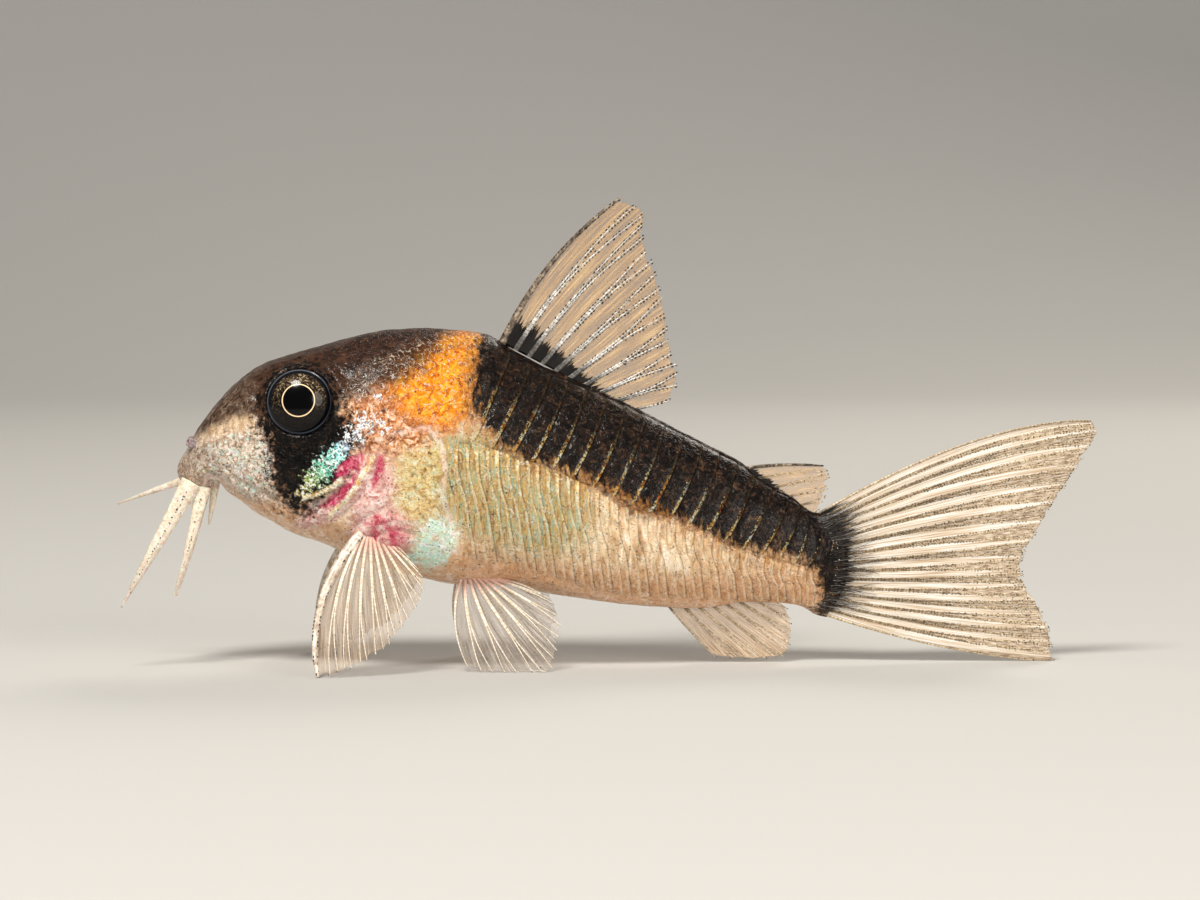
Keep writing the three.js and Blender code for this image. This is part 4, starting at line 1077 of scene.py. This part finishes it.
def makeBarbels():
    share = np.linspace(0, 1, barbelForm["steps"])
    t = share[:, None]
    rows = []
    for name, (*control, form) in barbels.items():
        a, b, c = np.array(control, float)
        path = (1 - t) ** 2 * a + 2 * t * (1 - t) * b + t * t * c
        size = smoothLine(barbelForm[form], share)
        points, faces = tube(path, size, barbelForm["sides"], barbelForm["flatten"])
        barbel = makePiece(name + "_skin", points, faces, finishes["barbel"])
        store(barbel, {"run": np.concatenate([np.repeat(share, barbelForm["sides"]), [0, 1]])})
        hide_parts(name)
        if form != "chin":
            surface = path + np.array([0.03, math.copysign(0.7, a[1]), 0.05])[None] * size[:, None]
            rows.append((surface[6:54], size[6:54]))
            if form == "upper":
                rows.append((surface[8:44] + [0.1, 0, 0.03], size[8:44]))
    strewGrains("barbel_specks", rows, "barbel", barbelSpecks)


nostril = {"x": 1.15, "angle": 46, "sides": 28,  # the profile's points are radius and height in mm
           "profile": [(0.36, -0.25), (0.33, 0.05), (0.28, 0.28), (0.27, 0.42), (0.24, 0.47), (0.19, 0.45),
                       (0.16, 0.32), (0.12, 0.1)]}


def makeNostrils():  # short open tubes, turned from a profile
    turn = np.linspace(0, 2 * math.pi, nostril["sides"], endpoint=False)[:, None]
    root = bodyPoint(nostril["x"], math.radians(nostril["angle"]))
    out = bodyNormal(nostril["x"], math.radians(nostril["angle"]))
    across = np.cross(out, [0, 1, 0])
    across /= np.linalg.norm(across)
    upward = np.cross(out, across)
    rings = [root + out * height + radius * (np.cos(turn) * across + np.sin(turn) * upward)
             for radius, height in nostril["profile"]]
    for side, name in ((1, "left"), (-1, "right")):
        points = np.concatenate([*rings, [root - 0.25 * out], [root + 0.06 * out]]) * [1, side, 1]
        faces = gridFaces(len(rings), nostril["sides"], closed=True, flip=side < 0)
        tubeSkin = makePiece("nostril_tube_" + name, points, faces, finishes["nostril"])
        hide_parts("nostril_" + name)


eyeDetail = {"frontRings": 40, "backRings": 6, "sides": 96}


def makeEyes():
    front, back, sides = eyeDetail.values()
    reach = np.concatenate([np.linspace(0.03, 1, front), np.linspace(0.9, 0.1, back)])
    facing = np.array([1] * front + [-1] * back)
    turn = np.linspace(0, 2 * math.pi, sides, endpoint=False)
    tilt, forward = math.radians(-eye["tiltUp"]), math.radians(-eye["turnForward"])
    level = -bodyPoint(eye["x"], angleAt(eye["x"], np.float64(eye["z"])))[1]
    dome = np.sqrt(np.clip(1 - reach**2, 0, 1)) * facing
    ball = np.stack([eye["radius"] * reach[:, None] * np.cos(turn),
                     -eye["depth"] * np.repeat(dome[:, None], sides, axis=1),
                     eye["radius"] * reach[:, None] * np.sin(turn)], axis=-1).reshape(-1, 3)
    ball = np.concatenate([ball, [[0, -eye["depth"], 0], [0, eye["depth"], 0]]])
    ball = ball @ np.array([[1, 0, 0], [0, math.cos(tilt), -math.sin(tilt)], [0, math.sin(tilt), math.cos(tilt)]]).T
    ball = ball @ np.array([[math.cos(forward), -math.sin(forward), 0], [math.sin(forward), math.cos(forward), 0],
                            [0, 0, 1]]).T
    ball += [eye["x"], -(level + eye["proud"] - eye["depth"]), eye["z"]]
    for side, name in ((1, "left"), (-1, "right")):
        faces = gridFaces(len(reach), sides, closed=True, flip=side > 0)
        globe = makePiece("eyeball_" + name, ball * [1, side, 1], faces, finishes["eye"])
        store(globe, {"reach": np.concatenate([np.repeat(reach * facing + 2 * (facing < 0), sides), [0, 2]]),
                      "turn": np.concatenate([np.tile(np.sin(turn), len(reach)), [0, 0]])})
        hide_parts("eye_" + name)


def webMaterial():  # a film of skin between the rays: see-through, with fibres that run outwards
    material, tree, shader = newFinish("translucentFinWeb")
    marks = ("across", "out", "dusky", "filled", "branch", "blotch")
    across, out, dusky, filled, branch, stored = [addNode(tree, "Attribute", {"attribute_name": name}).outputs["Fac"]
                                                  for name in marks]
    spot = addNode(tree, "CombineXYZ", links={0: across, 1: out})
    fibre, hatch, flame = [  # cells for each gap between two rays and for the fin's whole length, and their detail
        addNode(tree, "TexNoise", {"Scale": 1.0, "Detail": detail},
                {"Vector": addNode(tree, "Mapping", {"Scale": cells}, {"Vector": spot})})
        for cells, detail in (((9, 3, 1), 4.0), ((13, 22, 1), 2.0), ((7, 9, 1), 4.0))]
    glassy, warm, creamy, jointed = [addNode(tree, "ValToRGB", {"stops": stops}, {0: pattern}) for pattern, stops in (
        (fibre, [(0.35, "#8f8378"), (0.5, "#b4a698"), (0.66, "#dcd2c8")]),
        (fibre, [(0.35, "#a87c48"), (0.5, "#cc9e64"), (0.66, "#f0cc94")]),
        (fibre, [(0.33, "#ccaa84"), (0.45, "#ecd6b8"), (0.58, "#fffaf2")]),
        (hatch, [(0.34, "#8c7259"), (0.45, "#bca286"), (0.56, "#dac6aa"), (0.7, "#f4e8d8")]))]
    colour = stain(tree, stain(tree, glassy, warm, dusky), creamy, filled)
    # the stretch between a ray's branches is greyer and crossed by its joints
    half = addNode(tree, "Math", {"operation": "ADD", 1: 0.5}, {0: across})
    part = addNode(tree, "Math", {"operation": "FRACT"}, {0: half})
    inside = addNode(tree, "Math", {"operation": "SUBTRACT"}, {0: branch, 1: awayFrom(tree, part, 0.5)})
    # pigment that licks up between the rays from the fin's base
    licks = addNode(tree, "Math", {"operation": "MULTIPLY_ADD", 1: 0.24, 2: -0.12}, {0: flame})
    ragged = addNode(tree, "Math", {"operation": "ADD"}, {0: stored, 1: licks})
    within, dark, film, glass = [
        addNode(tree, "MapRange", {1: low, 2: high, 3: first, 4: last}, {0: value})
        for value, low, high, first, last in (
            (inside, 0.0, 0.09, 0.0, 1.0), (ragged, -0.012, 0.02, 0.0, 1.0), (fibre, 0.3, 0.7, 0.16, 0.46),
            (dusky, 0.0, 1.0, 0.6, 1.0))]
    colour = stain(tree, colour, jointed, product(tree, within, filled))
    colour = stain(tree, colour, "#0e0a09", ragged, -0.012, 0.02)
    thicker = addNode(tree, "Math", {"operation": "MULTIPLY_ADD", 1: 0.4}, {0: filled, 2: product(tree, film, glass)})
    alpha = addNode(tree, "Math", {"operation": "MAXIMUM"}, {0: thicker, 1: dark})
    fill(tree, shader, {"Roughness": 0.3, "IOR": 1.38, "Coat Weight": 0.25, "Coat Roughness": 0.15},
         {"Base Color": colour, "Alpha": alpha, "Normal": relief(tree, [(fibre, 0.03)])})
    return material


def rayMaterial(name, tones, jointColour, rootColour, rootLength,
                rootTop):  # jointed bony rods seen through thin skin
    material, tree, shader = newFinish(name)
    colour = mottle(tree, 0.3, 33, list(zip((0.35, 0.5, 0.66), tones)))
    run = addNode(tree, "Attribute", {"attribute_name": "run"}).outputs["Fac"]
    joints = addNode(tree, "Math", {"operation": "DIVIDE", 1: 0.26 * mm}, {0: run})
    cycle = addNode(tree, "Math", {"operation": "FRACT"}, {0: joints})
    colour = stain(tree, colour, jointColour, cycle, 0.76, 0.9, 0.6)
    colour = stain(tree, colour, rootColour, run, rootLength * mm, 0.3 * rootLength * mm, rootTop)
    fill(tree, shader, {"Roughness": 0.32, "IOR": 1.45, "Coat Weight": 0.3, "Coat Roughness": 0.15},
         {"Base Color": colour, "Normal": relief(tree, [(grain(tree, 0.12, 35), 0.015)])})
    return material


def pigmentMaterial():  # clusters of black pigment cells under the skin
    material, tree, shader = newFinish("blackPigmentGrains")
    colour = mottle(tree, 0.1, 35, [(0.4, "#0f0b0a"), (0.7, "#3a2c22")])
    fill(tree, shader, {"Roughness": 0.45}, {"Base Color": colour})
    return material


def enamelGlintMaterial():  # tiny enamel points on the plates' rear edges, coloured with painted glints of gold, orange and mint
    material, tree, shader = newFinish("enamelPoints")
    colour = mottle(tree, 0.45, 36, [(0.36, "#c87a34"), (0.46, "#e8bc60"), (0.54, "#f4ecc8"), (0.6, "#c8e0cc"),
                                     (0.7, "#ece4dc")])
    fill(tree, shader, {"Roughness": 0.25, "IOR": 1.5, "Coat Weight": 0.6, "Coat Roughness": 0.08},
         {"Base Color": colour})
    return material


def spineMaterial(name, tones):  # smooth bone under clear skin
    material, tree, shader = newFinish(name)
    fill(tree, shader, {"Roughness": 0.3, "IOR": 1.45, "Coat Weight": 0.4, "Coat Roughness": 0.12},
         {"Base Color": mottle(tree, 0.5, 37, list(zip((0.35, 0.5, 0.65), tones))),
          "Normal": relief(tree, [(grain(tree, 0.3, 38), 0.012)])})
    return material


def softSkinMaterial(name, tones, tipColour):  # the thin, translucent skin of feelers and nostrils
    material, tree, shader = newFinish(name)
    colour = mottle(tree, 0.35, 39, list(zip((0.32, 0.5, 0.68), tones)))
    run = addNode(tree, "Attribute", {"attribute_name": "run"}).outputs["Fac"]
    colour = stain(tree, colour, tipColour, run, 0.4, 1.0, 0.6)
    colour = stain(tree, colour, "#1c1512", specks(tree, 0.22, 0.05, 8), 0, 1, 0.6)
    fill(tree, shader, {"Roughness": 0.3, "Subsurface Weight": 0.35, "Subsurface Scale": 0.0006, "IOR": 1.38,
                        "Coat Weight": 0.4, "Coat Roughness": 0.15},
         {"Base Color": colour, "Normal": relief(tree, [(grain(tree, 0.2, 40, (1, 1, 0.3)), 0.04)])})
    return material


def eyeMaterial():  # a wet lens over a dark iris, with a fine gold ring round the pupil
    material, tree, shader = newFinish("wetEyeLens")
    reach, turn = [addNode(tree, "Attribute", {"attribute_name": name}).outputs["Fac"] for name in ("reach", "turn")]
    upper = addNode(tree, "MapRange", {1: -0.6, 2: 0.8, 3: 0.1, 4: 0.95}, {0: turn})
    fine = mottle(tree, 0.16, 41, [(0.4, "#120e0c"), (0.5, "#33281e"), (0.58, "#6a5842"), (0.7, "#cbb894")])
    colour = "#010102"
    for part, where, low, high, top in (
            (stain(tree, "#0e0b0a", fine, upper), reach, 0.5, 0.57, 1),  # the iris
            ("#09090c", reach, 0.76, 0.86, 1),
            ("#ffe0b4", awayFrom(tree, reach, 0.48), 0.022, 0.011, 1),  # the pupil's ring
            ("#56606e", awayFrom(tree, reach, 0.945), 0.03, 0.01, 0.8)):  # the lens's rim, a painted bluish-grey highlight
        colour = stain(tree, colour, part, where, low, high, top)
    fill(tree, shader, {"Roughness": 0.2, "IOR": 1.34, "Specular IOR Level": 0.1, "Coat Weight": 0.55,
                        "Coat Roughness": 0.02, "Coat IOR": 1.34}, {"Base Color": colour})
    return material


# Light, floor and camera

view = {"lens": 150, "distance": 332, "turn": -2.5, "rise": 3.5, "aim": (28.0, 0, 14.2)}  # mm from the snout
studio = {"paper": "#c2c1be", "air": "#f6f4f1", "airPower": 0.24, "lampAim": (0, 0, 0.012)}
lamps = [  # name, place, size and power, and the colour of a soft daylight box
    ("keyLight", (-0.12, -0.24, 0.4), 0.15, 2.3, "#fffaf2"),
    ("fillLight", (0.3, -0.4, 0.18), 0.3, 1.2, "#fffaf4"),
    ("rimLight", (0.16, 0.3, 0.26), 0.2, 0.7, "#fff6ea"),
]


def makeCamera():
    data = bpy.data.cameras.new("camera")
    data.lens = view["lens"]
    data.sensor_width = 36
    data.clip_start, data.clip_end = 0.01, 10
    camera = addObject("camera", data)
    turn, rise = math.radians(view["turn"]), math.radians(view["rise"])
    back = Vector((math.sin(turn) * math.cos(rise), -math.cos(turn) * math.cos(rise), math.sin(rise)))
    camera.location = Vector(view["aim"]) * mm + Vector((snoutX, 0, 0)) + back * view["distance"] * mm
    camera.rotation_euler = (-back).to_track_quat("-Z", "Y").to_euler()
    bpy.context.scene.camera = camera


def makeStage():
    paper, tree, shader = newFinish("paleStudioPaper")  # matt paper, pale and without any sheen
    fill(tree, shader, {"Base Color": studio["paper"], "Roughness": 0.85, "Specular IOR Level": 0.2})
    profile = [(-0.6, 0.0), (0.35, 0.0)] + [(0.35 + 0.25 * math.sin(a), 0.25 - 0.25 * math.cos(a))
                                            for a in np.linspace(0.1, math.pi / 2, 12)] + [(0.6, 1.2)]
    points = [(x, y, z) for y, z in profile for x in (-1.6, 1.6)]
    mesh = bpy.data.meshes.new("studio_floor")
    mesh.from_pydata(points, [], [(2 * i, 2 * i + 1, 2 * i + 3, 2 * i + 2) for i in range(len(profile) - 1)])
    mesh.polygons.foreach_set("use_smooth", [True] * len(mesh.polygons))
    mesh.materials.append(paper)
    addObject("studio_floor", mesh)
    for name, place, size, power, colour in lamps:
        data = bpy.data.lights.new(name, "AREA")
        data.shape = "DISK"
        data.size = size
        data.energy = power
        data.color = linear(colour)[:3]
        lamp = addObject(name, data)
        lamp.location = place
        lamp.rotation_euler = (Vector(studio["lampAim"]) - Vector(place)).to_track_quat("-Z", "Y").to_euler()
    world = bpy.data.worlds.new("studioAir")
    world.use_nodes = True
    fill(world.node_tree, world.node_tree.nodes["Background"], {0: studio["air"], 1: studio["airPower"]})
    bpy.context.scene.world = world
    bpy.context.scene.view_settings.view_transform = "Standard"


makeCamera()
makeStage()
finishes = {
    "web": webMaterial(),
    "duskyRay": rayMaterial("duskyFinRay", ("#98846a", "#c8b08c", "#f0dfc0"), "#5c4a38", "#120d0b", 1.3, 0.7),
    "silverRay": rayMaterial("silverFinRay", ("#9a9288", "#d0ccc4", "#fbfaf6"), "#453a34", "#120d0b", 2.3, 0.8),
    "paleRay": rayMaterial("paleFinRay", ("#d8c8ae", "#f0e4d0", "#fffaf0"), "#b8a080", "#e0a494", 1.8, 0.7),
    "pigment": pigmentMaterial(),
    "enamelGlint": enamelGlintMaterial(),
    "spine": spineMaterial("paleSpineBone", ("#a89480", "#d4c4b0", "#f4ece0")),
    "darkSpine": spineMaterial("duskySpineBone", ("#3e342c", "#786858", "#b8a890")),
    "barbel": softSkinMaterial("softBarbelSkin", ("#d0c0a8", "#ece0cc", "#fdf8ee"), "#b0a89e"),
    "nostril": softSkinMaterial("thinNostrilSkin", ("#6a5e58", "#94888a", "#beb4b8"), "#4a4244"),
    "eye": eyeMaterial(),
    "skin": skinMaterial(),
}
rodTree = buildRodTree()
grainTree = buildGrainTree()
print("finishes made")
makeSkin(finishes["skin"])
print("skin made")
edgeLines = makePlates(finishes["skin"])
for name, look in enamelPoints.items():
    look = {**look, "Stretch": 1.8, "Scatter": 0.02, "Seed": 11}
    skinMap(strewGrains("enamel_points_" + name, edgeLines[name == "upper"], "skin", look, "enamelGlint"))
print("plates made")
makeEyes()
makeNostrils()
makeBarbels()
print("head parts made")
makeFin("dorsal", dorsalFin, ["dorsal_fin"])
makeSpine("dorsal_spine_bone", dorsalFin, ["dorsal_spine"], [0.26, 0.2, 0.12, 0.08], "darkSpine")
makeFin("adipose", adiposeFin, ["adipose_fin"])
makeSpine("adipose_spine", adiposeFin, [], [0.14, 0.12, 0.08, 0.05], "darkSpine")
makeFin("anal", analFin, ["anal_fin"])
makeFin("caudal", caudalFin, ["caudal_fin"])
makeRootHairs(caudalFin)
for side, name in ((1, "left"), (-1, "right")):
    makeFin("pectoral_" + name, pectoralFin, ["pectoral_fin_" + name], side)
    makeSpine("pectoral_spine_bone_" + name, pectoralFin, ["pectoral_spine_" + name],
              [0.38, 0.32, 0.2, 0.1], "spine", side)
    makeFin("pelvic_" + name, pelvicFin, ["pelvic_fin_" + name], side)
print("fins made")
